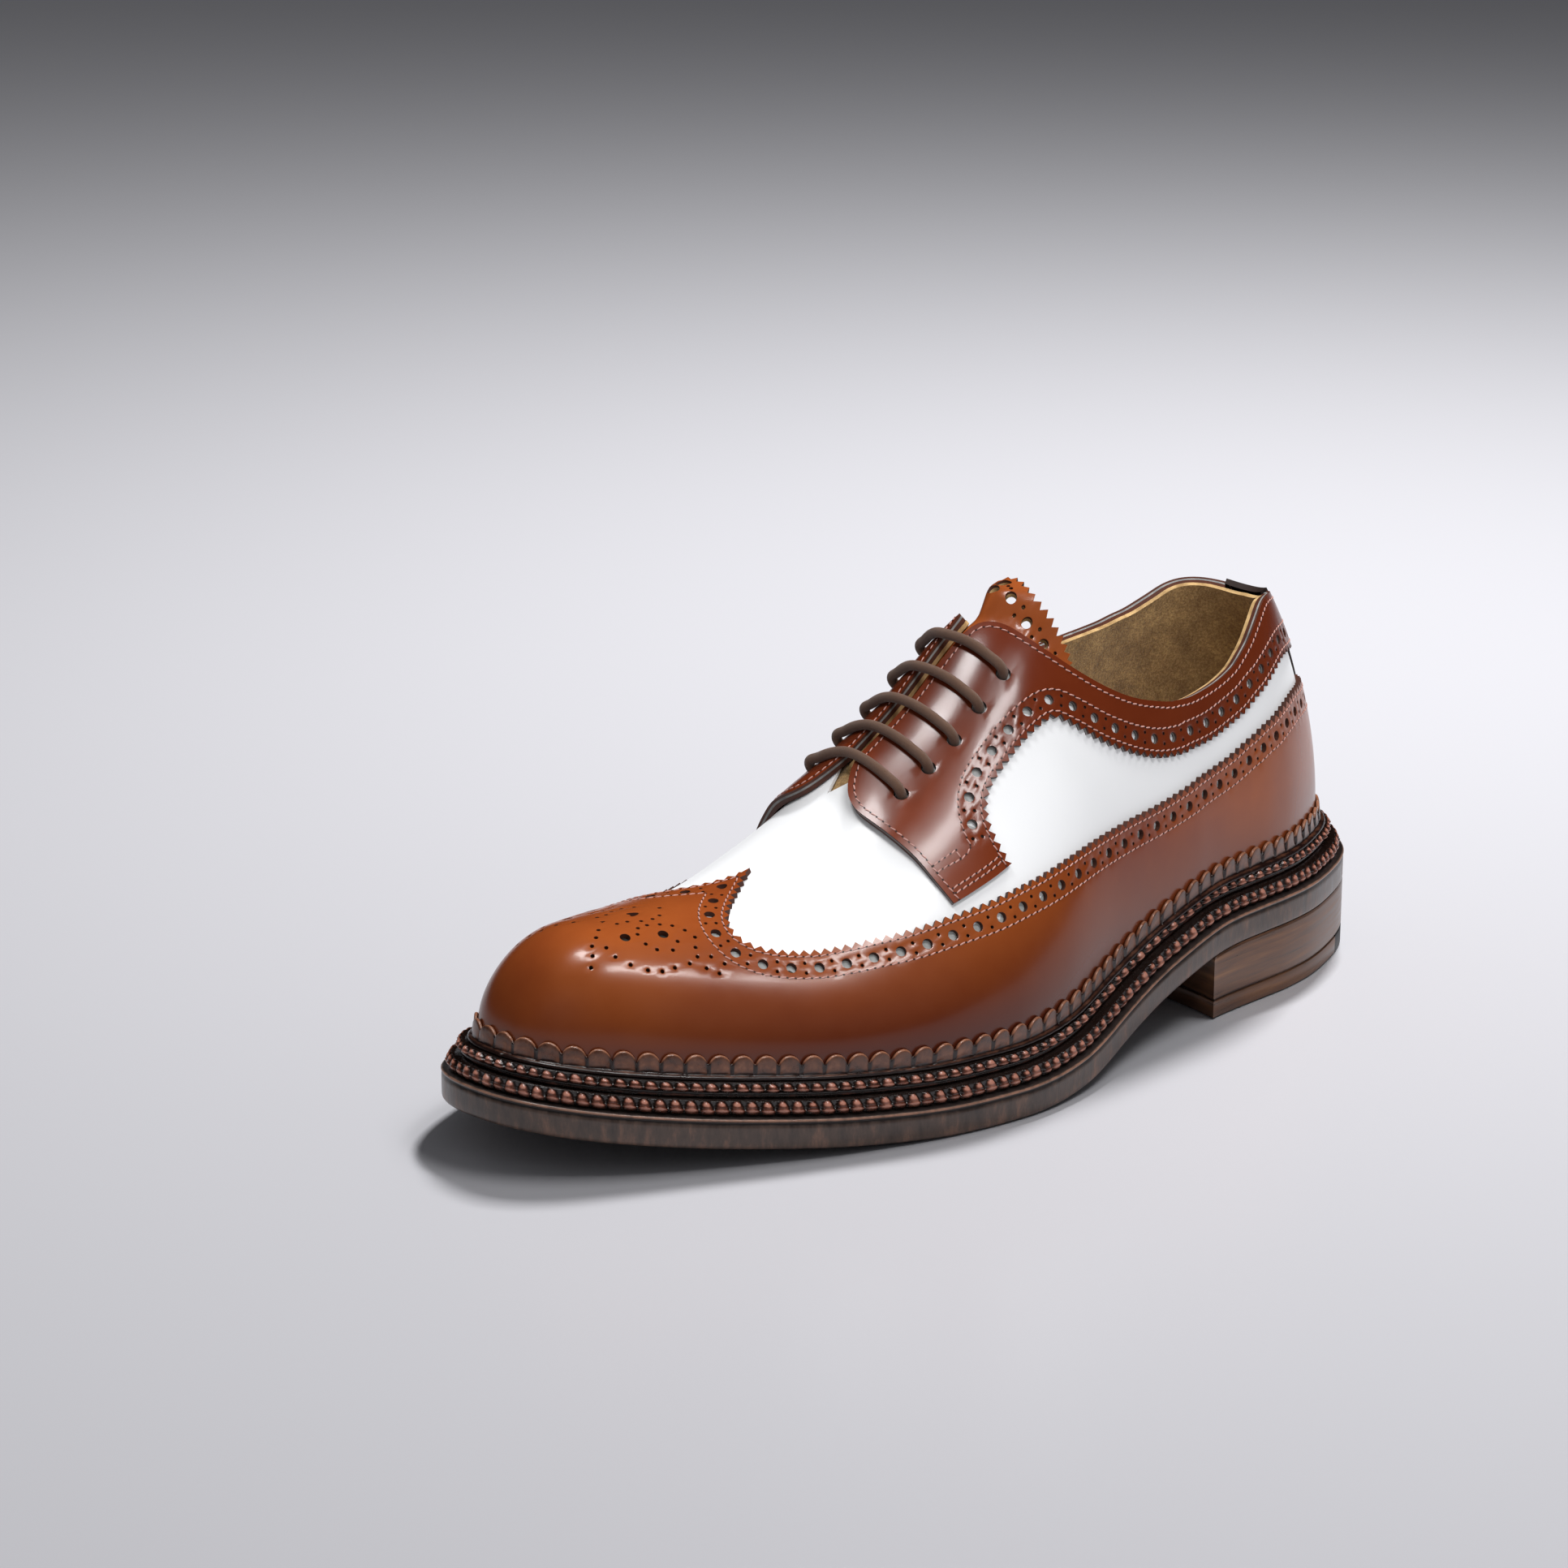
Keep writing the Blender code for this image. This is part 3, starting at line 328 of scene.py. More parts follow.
# Holes of the toe's medallion on the outer half. around, up: place on the last. size: 1 for a
# large hole, 0 for a small one.
MEDALLION = np.array([
    # around up  size
    [0.427, 0.695, 1],
    [0.404, 0.695, 1],
    [0.423, 1.000, 1],
    [0.402, 1.000, 0],
    [0.459, 1.000, 0],
    [0.445, 0.480, 0],
    [0.446, 0.560, 0],
    [0.449, 0.640, 0],
    [0.449, 0.720, 0],
    [0.452, 0.820, 0],
    [0.438, 0.610, 0],
    [0.431, 0.535, 0],
    [0.422, 0.480, 0],
    [0.413, 0.450, 0],
    [0.406, 0.445, 0],
    [0.400, 0.465, 0],
    [0.393, 0.487, 0],
    [0.386, 0.460, 0],
    [0.381, 0.432, 0],
    [0.378, 0.480, 0],
    [0.383, 0.522, 0],
    [0.389, 0.525, 0],
    [0.389, 0.582, 0],
    [0.388, 0.650, 0],
    [0.392, 0.710, 0],
    [0.398, 0.762, 0],
    [0.405, 0.790, 0],
    [0.404, 0.895, 0],
    [0.413, 0.800, 0],
    [0.409, 0.865, 0],
    [0.417, 0.862, 0],
    [0.419, 0.780, 0],
    [0.419, 0.715, 0],
    [0.414, 0.625, 0],
    [0.408, 0.580, 0],
    [0.400, 0.572, 0],
    [0.397, 0.630, 0],
    [0.437, 0.885, 0],
    [0.428, 0.890, 0],
])


def table_curve(table, column, at):
    """Smooth curve through one column of a table, read at the places given in at."""
    place = table[:, 0]
    value = table[:, column]
    at = np.clip(np.asarray(at, float), place[0], place[-1])
    step = np.diff(place)
    slope = np.diff(value) / step
    tangent = np.empty_like(value)
    tangent[0] = slope[0]
    tangent[-1] = slope[-1]
    tangent[1:-1] = (step[1:] * slope[:-1] + step[:-1] * slope[1:]) / (step[1:] + step[:-1])
    i = np.clip(np.searchsorted(place, at, side="right") - 1, 0, len(step) - 1)
    t = (at - place[i]) / step[i]
    return (
        (2 * t**3 - 3 * t**2 + 1) * value[i]
        + (t**3 - 2 * t**2 + t) * step[i] * tangent[i]
        + (3 * t**2 - 2 * t**3) * value[i + 1]
        + (t**3 - t**2) * step[i] * tangent[i + 1]
    )


def sole_share(x):
    """Share of the sole's length at x."""
    return (np.asarray(x, float) + HEEL_CENTRE) / SOLE_LENGTH


def centre_line(share):
    """y of the sole's centre line."""
    past = np.clip((share - SWING_START) / (1.0 - SWING_START), 0.0, 1.0)
    return -TOE_SWING * past**SWING_POWER


def end_rounding(share):
    """Share of the width that is left where the toe and the heel round off."""
    toe = np.clip((share - (1.0 - TOE_ROUND)) / TOE_ROUND, 0.0, 1.0)
    heel = np.clip((HEEL_ROUND - share) / HEEL_ROUND, 0.0, 1.0)
    toe_part = np.maximum(1.0 - toe**TOE_FULLNESS, 0.0) ** (1.0 / TOE_FULLNESS)
    heel_part = np.maximum(1.0 - heel**HEEL_FULLNESS, 0.0) ** (1.0 / HEEL_FULLNESS)
    return toe_part * heel_part


def sole_width(share):
    """Width that the two columns of SOLE_SECTIONS share out."""
    t = np.clip((share - 0.20) / 0.40, 0.0, 1.0)
    return HEEL_WIDTH + (BALL_WIDTH - HEEL_WIDTH) * t * t * (3.0 - 2.0 * t)


def sole_outline(around):
    """Plan of the sole's edge. around runs from the back over the outer side to the toe (0.5)."""
    around = np.asarray(around, float) % 1.0
    share = (1.0 - np.cos(2.0 * np.pi * around)) / 2.0
    outer = table_curve(SOLE_SECTIONS, 1, share)
    inner = table_curve(SOLE_SECTIONS, 2, share)
    side = np.where(around < 0.5, 1.0, -1.0)
    half = np.where(around < 0.5, outer, inner) * sole_width(share) * end_rounding(share)
    return np.stack([SOLE_LENGTH * share - HEEL_CENTRE, centre_line(share) + side * half], axis=-1)


def inset_outline(around, inset):
    """The sole's outline moved inward by inset."""
    around = np.asarray(around, float)
    step = 1e-4
    along = sole_outline(around + step) - sole_outline(around - step)
    outward = unit(np.stack([-along[..., 1], along[..., 0]], axis=-1))
    return sole_outline(around) - outward * np.asarray(inset)[..., None]


def sole_rise(x):
    """Height of the outsole's underside over the floor."""
    share = sole_share(x)
    arch = np.maximum(table_curve(ARCH, 1, share), 0.0) * HEEL_HEIGHT
    arch = np.where(share > ARCH[-3, 0], 0.0, arch)
    spring = np.clip((share - SPRING_START) / (1.0 - SPRING_START), 0.0, 1.0)
    return arch + TOE_SPRING * spring**SPRING_POWER


def extension(share):
    """Width of welt that shows outside the upper."""
    places = [0.0, 0.30, 0.60, 0.85]
    widths = [BACK_EXTENSION, WAIST_EXTENSION, BALL_EXTENSION, TOE_EXTENSION]
    return np.interp(share, places, widths)


class Feather:
    """The line where the upper meets the welt, kept as two side curves over x."""

    def __init__(self, samples=1440):
        around = np.arange(samples) / samples
        share = (1.0 - np.cos(2.0 * np.pi * around)) / 2.0
        line = inset_outline(around, extension(share))
        toe = int(np.argmax(line[:, 0]))
        back = int(np.argmin(line[:, 0]))
        line = np.roll(line, -back, axis=0)
        toe = (toe - back) % samples
        closed = np.vstack([line, line[:1]])
        self.outer = closed[: toe + 1]
        self.inner = closed[toe:][::-1]
        self.back = closed[0, 0]
        self.toe = closed[toe, 0]

    def side_y(self, x, outer):
        curve = self.outer if outer else self.inner
        return np.interp(x, curve[:, 0], curve[:, 1])

    def point(self, around):
        around = np.asarray(around, float) % 1.0
        x = self.back + (self.toe - self.back) * (1.0 - np.cos(2.0 * np.pi * around)) / 2.0
        y = np.where(around <= 0.5, self.side_y(x, True), self.side_y(x, False))
        return np.stack([x, y], axis=-1)


FEATHER = Feather()
RIDGE_BACK = FEATHER.back + HEEL_DOME
RIDGE_TOE = FEATHER.toe - TOE_DOME


def foot_and_ridge(around):
    """Plan points of the feather line and of the last's ridge that belong together."""
    foot = FEATHER.point(around)
    along = (foot[..., 0] - FEATHER.back) / (FEATHER.toe - FEATHER.back)
    ridge_x = RIDGE_BACK + along * (RIDGE_TOE - RIDGE_BACK)
    ridge_share = sole_share(ridge_x)
    ridge_y = centre_line(ridge_share) - table_curve(LAST_SECTIONS, 2, ridge_share) * BALL_WIDTH
    return foot, np.stack([ridge_x, ridge_y], axis=-1)


def last_point(around, up):
    """Point of the last's outer surface, the upper's outer face.

    A value of up above 1 passes over the ridge and comes down the other side.
    """
    around, up = np.broadcast_arrays(np.asarray(around, float), np.asarray(up, float))
    around = np.where(up > 1.0, 1.0 - around, around)
    up = np.where(up > 1.0, 2.0 - up, up)
    plan_share = np.cos(np.clip(up, 0.0, 1.0) * np.pi / 2.0)
    foot, ridge = foot_and_ridge(around)
    plan = ridge + (foot - ridge) * plan_share[..., None]
    x = plan[..., 0]
    y = plan[..., 1]
    share = sole_share(x)
    middle = centre_line(share) - table_curve(LAST_SECTIONS, 2, share) * BALL_WIDTH
    outer_half = np.maximum(FEATHER.side_y(x, True) - middle, 1e-6)
    inner_half = np.maximum(middle - FEATHER.side_y(x, False), 1e-6)
    off = np.where(y > middle, (y - middle) / outer_half, (middle - y) / inner_half)
    off = np.clip(off, 0.0, 1.0)
    full = table_curve(LAST_SECTIONS, 3, share)
    rise = np.maximum(1.0 - off**full, 0.0) ** (1.0 / full)
    base = sole_rise(x) + FEATHER_RISE
    toe = np.clip((x - RIDGE_TOE) / (FEATHER.toe - RIDGE_TOE), 0.0, 1.0)
    heel = np.clip((RIDGE_BACK - x) / (RIDGE_BACK - FEATHER.back), 0.0, 1.0)
    dome = np.maximum(1.0 - toe**TOE_DOME_POWER, 0.0) ** (1.0 / TOE_DOME_POWER)
    dome = dome * np.maximum(1.0 - heel**HEEL_DOME_POWER, 0.0) ** (1.0 / HEEL_DOME_POWER)
    tall = table_curve(LAST_SECTIONS, 1, share) * INSTEP_HEIGHT - base
    height = np.where(plan_share >= 1.0, 0.0, tall * dome * rise)
    swell = np.sin(np.pi * np.clip(height / tall, 0.0, 1.0) ** BULGE_POWER)
    swell = swell * table_curve(LAST_SECTIONS, 4, share) * BALL_WIDTH * plan_share**BULGE_PULL
    outward = unit(foot - ridge)
    fade = np.clip(1.0 - (x - FEATHER.back) / LEAN_REACH, 0.0, 1.0) ** LEAN_FADE
    lean = BACK_LEAN * (height / LEAN_RISE) ** LEAN_POWER * fade
    plan = plan + outward * swell[..., None]
    return np.stack([plan[..., 0] + lean, plan[..., 1], base + height], axis=-1)


def last_normal(around, up):
    """Outward normal of the last's surface."""
    around, up = np.broadcast_arrays(np.asarray(around, float), np.asarray(up, float))
    step_around = 0.003
    step_up = 0.006
    along = last_point(around + step_around, up) - last_point(around - step_around, up)
    rising = last_point(around, up + step_up) - last_point(around, np.maximum(up - step_up, 0.0))
    return unit(np.cross(rising, along))


def offset_point(around, up, distance):
    """Point at a distance outward of the last's surface."""
    away = np.asarray(distance, float)[..., None]
    return last_point(around, up) + last_normal(around, up) * away


def up_at_height(around, height):
    """Share of the way up the wall where the surface is that high over the feather line."""
    around = np.asarray(around, float)
    low = np.zeros_like(around)
    high = np.full_like(around, 0.5)
    base = last_point(around, low)[..., 2]
    for _ in range(30):
        middle = (low + high) / 2.0
        above = last_point(around, middle)[..., 2] - base > height
        high = np.where(above, middle, high)
        low = np.where(above, low, middle)
    return (low + high) / 2.0


def smooth_line(points, count=60):
    """Smooth curve through points of the chart, by the length between them."""
    points = np.asarray(points, float)
    length = arc_length(points * CHART_SCALE)
    table = np.column_stack([length, points])
    at = np.linspace(0.0, length[-1], count)
    return np.column_stack([table_curve(table, 1, at), table_curve(table, 2, at)])


def mirrored(line):
    """The same line on the inner side of the shoe."""
    return np.column_stack([line[:, 0], 2.0 - line[:, 1]])


def lifted(line):
    """A collar line as the inner side has it, a little higher between heel and throat."""
    start = 0.38 * TOP_LINE[-1, 0]
    share = np.clip((line[:, 0] - start) / (TOP_LINE[-1, 0] - start), 0.0, 1.0)
    return np.column_stack([line[:, 0], line[:, 1] + INNER_COLLAR_LIFT * np.sin(np.pi * share) ** 2])


def slot_up(around):
    """Share of the way up where the lacing gap's edge runs."""
    around = np.asarray(around, float)
    foot, ridge = foot_and_ridge(around)
    reach = np.hypot(foot[..., 0] - ridge[..., 0], foot[..., 1] - ridge[..., 1])
    back = np.clip((SLOT_FRONT - around) / (SLOT_FRONT - SLOT_BACK), 0.0, 1.0)
    gap = LACING_GAP_FRONT + (LACING_GAP_BACK - LACING_GAP_FRONT) * back
    return 2.0 / np.pi * np.arccos(gap / 2.0 / reach)


def tongue_rise(around, up):
    """How far the tongue stands off the last behind the top line."""
    folded = 1.0 - np.abs(1.0 - up)
    edge = np.interp(folded, TOP_LINE[8:, 1], TOP_LINE[8:, 0])
    share = np.clip((edge - TONGUE_TUCK - around) / TONGUE_RAMP, 0.0, 1.0)
    middle = np.clip((folded - 0.58) / 0.20, 0.0, 1.0)
    return TONGUE_LIFT * share**2 * (3.0 - 2.0 * share) * middle


def spaced(line, spacing):
    """The line cut into even steps in the chart, both ends kept."""
    return even_steps(line, arc_length(line * CHART_SCALE), spacing, least=1)


def joined(lines, spacing):
    """One closed loop of chart points from lines that follow each other."""
    loop = []
    for line in lines:
        for point in spaced(line, spacing):
            if not loop or np.linalg.norm(point - loop[-1]) > 1e-7:
                loop.append(point)
    if np.linalg.norm(loop[0] - loop[-1]) < 1e-7:
        loop.pop()
    return np.array(loop)


def toe_fold(start):
    """Lines up and over the toe's middle, where the chart meets itself."""
    rising = np.array([[0.5, start], [0.5, FOLD_TOP]])
    over = np.array([[0.5, FOLD_TOP], [0.5, 2.0 - FOLD_TOP]])
    return [rising, over, mirrored(rising)[::-1]]


def inside(points, loop):
    """Which points lie inside a closed loop."""
    result = np.zeros(len(points), bool)
    for i in range(len(loop)):
        x0, y0 = loop[i - 1]
        x1, y1 = loop[i]
        crosses = (y0 > points[:, 1]) != (y1 > points[:, 1])
        with np.errstate(divide="ignore", invalid="ignore"):
            edge_x = x0 + (points[:, 1] - y0) * (x1 - x0) / (y1 - y0)
        result ^= crosses & (points[:, 0] < edge_x)
    return result


def distance_to(points, line):
    """Distance of each point from a line."""
    best = np.full(len(points), np.inf)
    for start, end in zip(line[:-1], line[1:]):
        run = end - start
        t = np.clip(((points - start) @ run) / max(run @ run, 1e-18), 0.0, 1.0)
        best = np.minimum(best, np.linalg.norm(points - start - t[:, None] * run, axis=1))
    return best


def border_edges(triangles):
    """Edges that one triangle alone has, in its own direction."""
    used = {(a, b) for t in triangles for a, b in ((t[0], t[1]), (t[1], t[2]), (t[2], t[0]))}
    return [edge for edge in used if (edge[1], edge[0]) not in used]


def stations(count, shares):
    """Even places round the sole, with some moved onto exact shares of its length."""
    around = np.arange(count // 2 + 1) / count
    for share in shares:
        wanted = math.acos(1.0 - 2.0 * share) / (2.0 * math.pi)
        around[int(np.argmin(np.abs(around - wanted)))] = wanted
    return np.concatenate([around, 1.0 - around[-2:0:-1]])


def ring(around, inset, height):
    """Outline of the sole moved inward, at a height over its underside."""
    plan = inset_outline(around, np.broadcast_to(np.asarray(inset, float), around.shape))
    return np.column_stack([plan, sole_rise(plan[:, 0]) + height])


def even_plan(points, spacing):
    """A plan line cut into even steps."""
    return even_steps(points, arc_length(points), spacing)


def heel_outline(start, end, hollow, spacing=6.0 * MM):
    """Plan of the heel from x = start to x = end. hollow: how far its front face is sunk back."""
    around = np.linspace(0.0, 0.30, 601)
    sides = []
    for line in (sole_outline(around), sole_outline(-around)):
        ends = [[x, np.interp(x, line[:, 0], line[:, 1])] for x in (max(start, line[0, 0]), end)]
        between = line[(line[:, 0] > start) & (line[:, 0] < end)]
        sides.append(even_plan(np.vstack([ends[:1], between, ends[1:]]), spacing))
    outer, inner = sides
    y = np.linspace(outer[-1, 1], inner[-1, 1], 13)
    off = (2.0 * y - outer[-1, 1] - inner[-1, 1]) / (outer[-1, 1] - inner[-1, 1])
    front = np.column_stack([end - hollow * (1.0 - off**2), y])
    loop = [outer[:-1], front[:-1], inner[::-1][:-1]]
    if start > -HEEL_CENTRE:
        loop.append(even_plan(np.vstack([inner[:1], outer[:1]]), spacing)[:-1])
    return np.vstack(loop)


def eyelets():
    """Chart points of one facing's eyelets, from the top."""
    share = np.arange(LACE_BARS) / max(LACE_BARS - 1, 1)
    first = np.array(EYELET_FIRST)
    return first + share[:, None] * (np.array(EYELET_LAST) - first)


def wall_top():
    """The top line from the back to the throat, on the outer and the inner side."""
    outer = smooth_line(TOP_LINE)
    return outer, mirrored(lifted(outer))


def throat_edge(count=24):
    """The lacing gap's edge on the outer side, from its back to its closed front end."""
    around = np.linspace(SLOT_BACK, SLOT_FRONT, count)
    return np.column_stack([around, slot_up(around)])


def chart_frame(a, b):
    """How the surface moves with each chart coordinate, and its normal."""
    step = 1e-3
    per_a = (last_point(a + step, b) - last_point(a - step, b)) / (2.0 * step)
    low = np.maximum(b - step, 0.0)
    per_b = (last_point(a, b + step) - last_point(a, low)) / (b + step - low)[..., None]
    return per_a, per_b, last_normal(a, b)


def chart_way(line, way):
    """Chart step that moves each point of the line by a vector lying in the surface."""
    per_a, per_b, _ = chart_frame(line[:, 0], line[:, 1])
    aa = (per_a * per_a).sum(1)
    bb = (per_b * per_b).sum(1)
    ab = (per_a * per_b).sum(1)
    wa = (per_a * way).sum(1)
    wb = (per_b * way).sum(1)
    det = np.maximum(aa * bb - ab * ab, 1e-12)
    return np.column_stack([(wa * bb - wb * ab) / det, (wb * aa - wa * ab) / det])


def along_line(line, spacing, even=False):
    """The line at even distances over the real surface."""
    return even_steps(line, arc_length(last_point(line[:, 0], line[:, 1])), spacing, even=even)


def side_way(line):
    """Unit vector in the surface, to the left of the line as seen from outside."""
    tangent = unit(np.gradient(last_point(line[:, 0], line[:, 1]), axis=0))
    return unit(np.cross(last_normal(line[:, 0], line[:, 1]), tangent))


def shifted(line, distance, steps=4):
    """The line moved over the surface to its left."""
    line = along_line(line, 1.0 * MM)
    for _ in range(steps):
        line = line + chart_way(line, side_way(line) * distance / steps)
    return line


def trimmed(line, keep):
    """The longest run of the line whose points pass a test."""
    good = keep(line)
    best = (0, 0)
    start = None
    for i, ok in enumerate(list(good) + [False]):
        if ok and start is None:
            start = i
        if not ok and start is not None:
            if i - start > best[1] - best[0]:
                best = (start, i)
            start = None
    return line[best[0]:best[1]]


def pinked(line, pitch, depth):
    """Zigzag edge: every second point stands back to the left of the line."""
    points = along_line(line, pitch / 2.0, even=True)
    way = chart_way(points, side_way(points) * depth)
    out = points.copy()
    out[1::2] += way[1::2]
    return out


# Height of an even triangle over its side
ROW_SHARE = 0.866


def fine_triangles(loop, discs, spacing):
    """Triangles of a chart region in rough millimetres, with round holes and soft rims."""
    hole_loops = [hole * CHART_SCALE for hole, _ in discs]
    rims = [rim * CHART_SCALE for _, rim in discs]
    outline = loop * CHART_SCALE
    low = outline.min(axis=0)
    high = outline.max(axis=0)
    row_step = ROW_SHARE * spacing
    rows = np.arange(math.floor(low[1] / row_step), math.ceil(high[1] / row_step) + 1)
    columns = np.arange(math.floor(low[0] / spacing) - 1, math.ceil(high[0] / spacing) + 2)
    grid_x, grid_y = np.meshgrid(columns * spacing, rows * ROW_SHARE * spacing)
    grid_x = grid_x + (rows % 2)[:, None] * 0.5 * spacing
    lattice = np.column_stack([grid_x.ravel(), grid_y.ravel()])
    lattice = lattice[inside(lattice, outline)]
    closed = np.vstack([outline[-1:], outline])
    lattice = lattice[distance_to(lattice, closed) > 0.5 * spacing]
    rim_points = []
    for hole, rim in zip(hole_loops, rims):
        centre = hole.mean(axis=0)
        reach = np.linalg.norm(rim - centre, axis=1).max() + 0.4 * spacing
        lattice = lattice[np.linalg.norm(lattice - centre, axis=1) > reach]
        rim_points.append(rim[inside(rim, outline)])
    points = np.vstack([outline] + hole_loops + rim_points + [lattice])
    edges = []
    first = 0
    for closed_loop in [outline] + hole_loops:
        count = len(closed_loop)
        edges += [(first + i, first + (i + 1) % count) for i in range(count)]
        first += count
    result = delaunay_2d_cdt([Vector(p) for p in points], edges, [], 0, 1e-7)
    flat = np.array([[v.x, v.y] for v in result[0]])
    triangles = np.array([list(face) for face in result[2]])
    middle = flat[triangles].mean(axis=1)
    wanted = inside(middle, outline)
    for hole in hole_loops:
        centre = hole.mean(axis=0)
        near = np.linalg.norm(middle - centre, axis=1) < np.linalg.norm(hole - centre, axis=1).max()
        index = np.flatnonzero(near)
        wanted[index[inside(middle[index], hole)]] = False
    return flat / CHART_SCALE, triangles[wanted]


def round_hole(centre, radius, sides):
    """Loop of a round hole on the surface, in the chart."""
    centre = np.asarray(centre, float)[None, :]
    per_a, _, normal = chart_frame(centre[:, 0], centre[:, 1])
    tangent = per_a[0] / np.linalg.norm(per_a[0])
    across = np.cross(normal[0], tangent)
    turn = 2.0 * np.pi * (np.arange(sides) + 0.5) / sides
    way = radius * (np.cos(turn)[:, None] * tangent + np.sin(turn)[:, None] * across)
    return centre + chart_way(np.repeat(centre, sides, axis=0), way)


def on_root(name, mesh):
    """Object of a mesh that rides on the one body."""
    made = bpy.data.objects.new(name, mesh)
    bpy.context.scene.collection.objects.link(made)
    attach(made, "root")
    return made


def make_mesh(name, points, faces, looks, indices=None, smooth=True, sharp=None, shade_and_glint=None):
    """Mesh object from plain lists, joined where its points coincide.

    indices: the number of each face's look. sharp: the angle from which an edge is shown sharp.
    The painted shade and highlight of relief work, a value at each point, go into a point attribute.
    """
    points = np.asarray(points, float)
    keys = np.round(points / (0.002 * MM)).astype(np.int64)
    _, first, back = np.unique(keys, axis=0, return_index=True, return_inverse=True)
    back = back.ravel()
    kept = []
    kept_index = []
    for number, face in enumerate(faces):
        joined_face = list(dict.fromkeys(int(back[i]) for i in face))
        if len(joined_face) > 2:
            kept.append(joined_face)
            kept_index.append(0 if indices is None else int(indices[number]))
    mesh = bpy.data.meshes.new(name)
    mesh.from_pydata(points[first].tolist(), [], kept)
    for look in looks if isinstance(looks, (list, tuple)) else [looks]:
        mesh.materials.append(look)
    mesh.polygons.foreach_set("material_index", kept_index)
    if shade_and_glint is not None:
        layer = mesh.attributes.new("shade_and_glint", "FLOAT", "POINT")
        layer.data.foreach_set("value", np.asarray(shade_and_glint, float)[first])
    if smooth:
        mesh.shade_smooth()
    if sharp:
        mesh.set_sharp_from_angle(angle=math.radians(sharp))
    mesh.update()
    return on_root(name, mesh)


def no_rise(around, up):
    """The rise of a piece that keeps its height over the last."""
    return np.zeros(len(around))


def line_distance(points, line):
    """Distance of chart points from a line, in rough millimetres."""
    return distance_to(points * CHART_SCALE, line * CHART_SCALE)


def folded(chart):
    """Chart points brought onto the outer half."""
    return np.column_stack([chart[:, 0], 1.0 - np.abs(1.0 - chart[:, 1])])


# A pierced hole's rim: how wide it is and how far it sinks
HOLE_RIM = 0.34 * MM
HOLE_DIP = 0.09 * MM
PANEL_SHARP = 32.0               # degrees


def panel(name, loop, holes, folds, top, walls, looks, spacing, flip=False, rise=no_rise, pick=None):
    """Leather panel over the last: its face at the height top, its cut edge down through walls.

    holes: rows of a chart point, a radius and a number of sides. folds: places round the last
    where the chart meets itself and the panel has no edge. walls: pairs of a height and the
    index of a look, from the face down. rise: adds to every height, by the place in the chart.
    pick: gives the index of the look of each face from its middle in the chart.
    """
    discs = []
    for centre, radius, sides in holes:
        rim = round_hole(centre, radius + HOLE_RIM, sides)
        discs.append((round_hole(centre, radius, sides), rim))
    chart, triangles = fine_triangles(loop, discs, spacing)
    heights = np.full(len(chart), top)
    dip = HOLE_DIP if top > walls[-1][0] else -HOLE_DIP
    for hole, _ in discs:
        centre = (hole * CHART_SCALE).mean(axis=0)
        reach = np.linalg.norm(hole * CHART_SCALE - centre, axis=1).max()
        away = np.linalg.norm(chart * CHART_SCALE - centre, axis=1)
        heights[away < reach * 1.02] -= dip
    points = [offset_point(chart[:, 0], chart[:, 1], heights + rise(chart[:, 0], chart[:, 1]))]
    faces = [tuple(t) for t in triangles.tolist()]
    index = [0] * len(faces)
    if pick is not None:
        index = pick(chart[triangles].mean(axis=1)).tolist()
    edges = []
    for a, b in border_edges(triangles.tolist()):
        on_fold = any(abs(chart[a, 0] - f) < 1e-6 and abs(chart[b, 0] - f) < 1e-6 for f in folds)
        if not on_fold:
            edges.append((a, b))
    used = sorted({i for edge in edges for i in edge})
    place = {vertex: k for k, vertex in enumerate(used)}
    rim = chart[used]
    previous = {vertex: vertex for vertex in used}
    first = len(chart)
    for height, look in walls:
        points.append(offset_point(rim[:, 0], rim[:, 1], height + rise(rim[:, 0], rim[:, 1])))
        for a, b in edges:
            faces.append((previous[b], previous[a], first + place[a], first + place[b]))
            index.append(look)
        previous = {vertex: first + place[vertex] for vertex in used}
        first += len(used)
    if not flip:
        faces = [face[::-1] for face in faces]
    return make_mesh(name, np.vstack(points), faces, looks, index, sharp=PANEL_SHARP)


STITCH_PITCH = 2.15 * MM
STITCH_LENGTH = 1.75 * MM
STITCH_WIDTH = 0.42 * MM
STITCH_SLANT = 11.0              # degrees
NEEDLE_RADIUS = 0.26 * MM
NEEDLE_LIFT = 0.03 * MM


def stitch_form():
    """One stitch as rings of six points: along x, a little arched, its ends sunk."""
    profile = [
        (-0.5, 0.25, -0.45),
        (-0.36, 0.85, -0.05),
        (0.0, 1.0, 0.12),
        (0.36, 0.85, -0.05),
        (0.5, 0.25, -0.45),
    ]
    points = []
    for x, r, z in profile:
        for k in range(6):
            turn = 2.0 * math.pi * k / 6
            points.append((x, r * math.cos(turn), z + 0.8 * r * math.sin(turn)))
    return np.array(points), strip_faces(len(profile), 6)


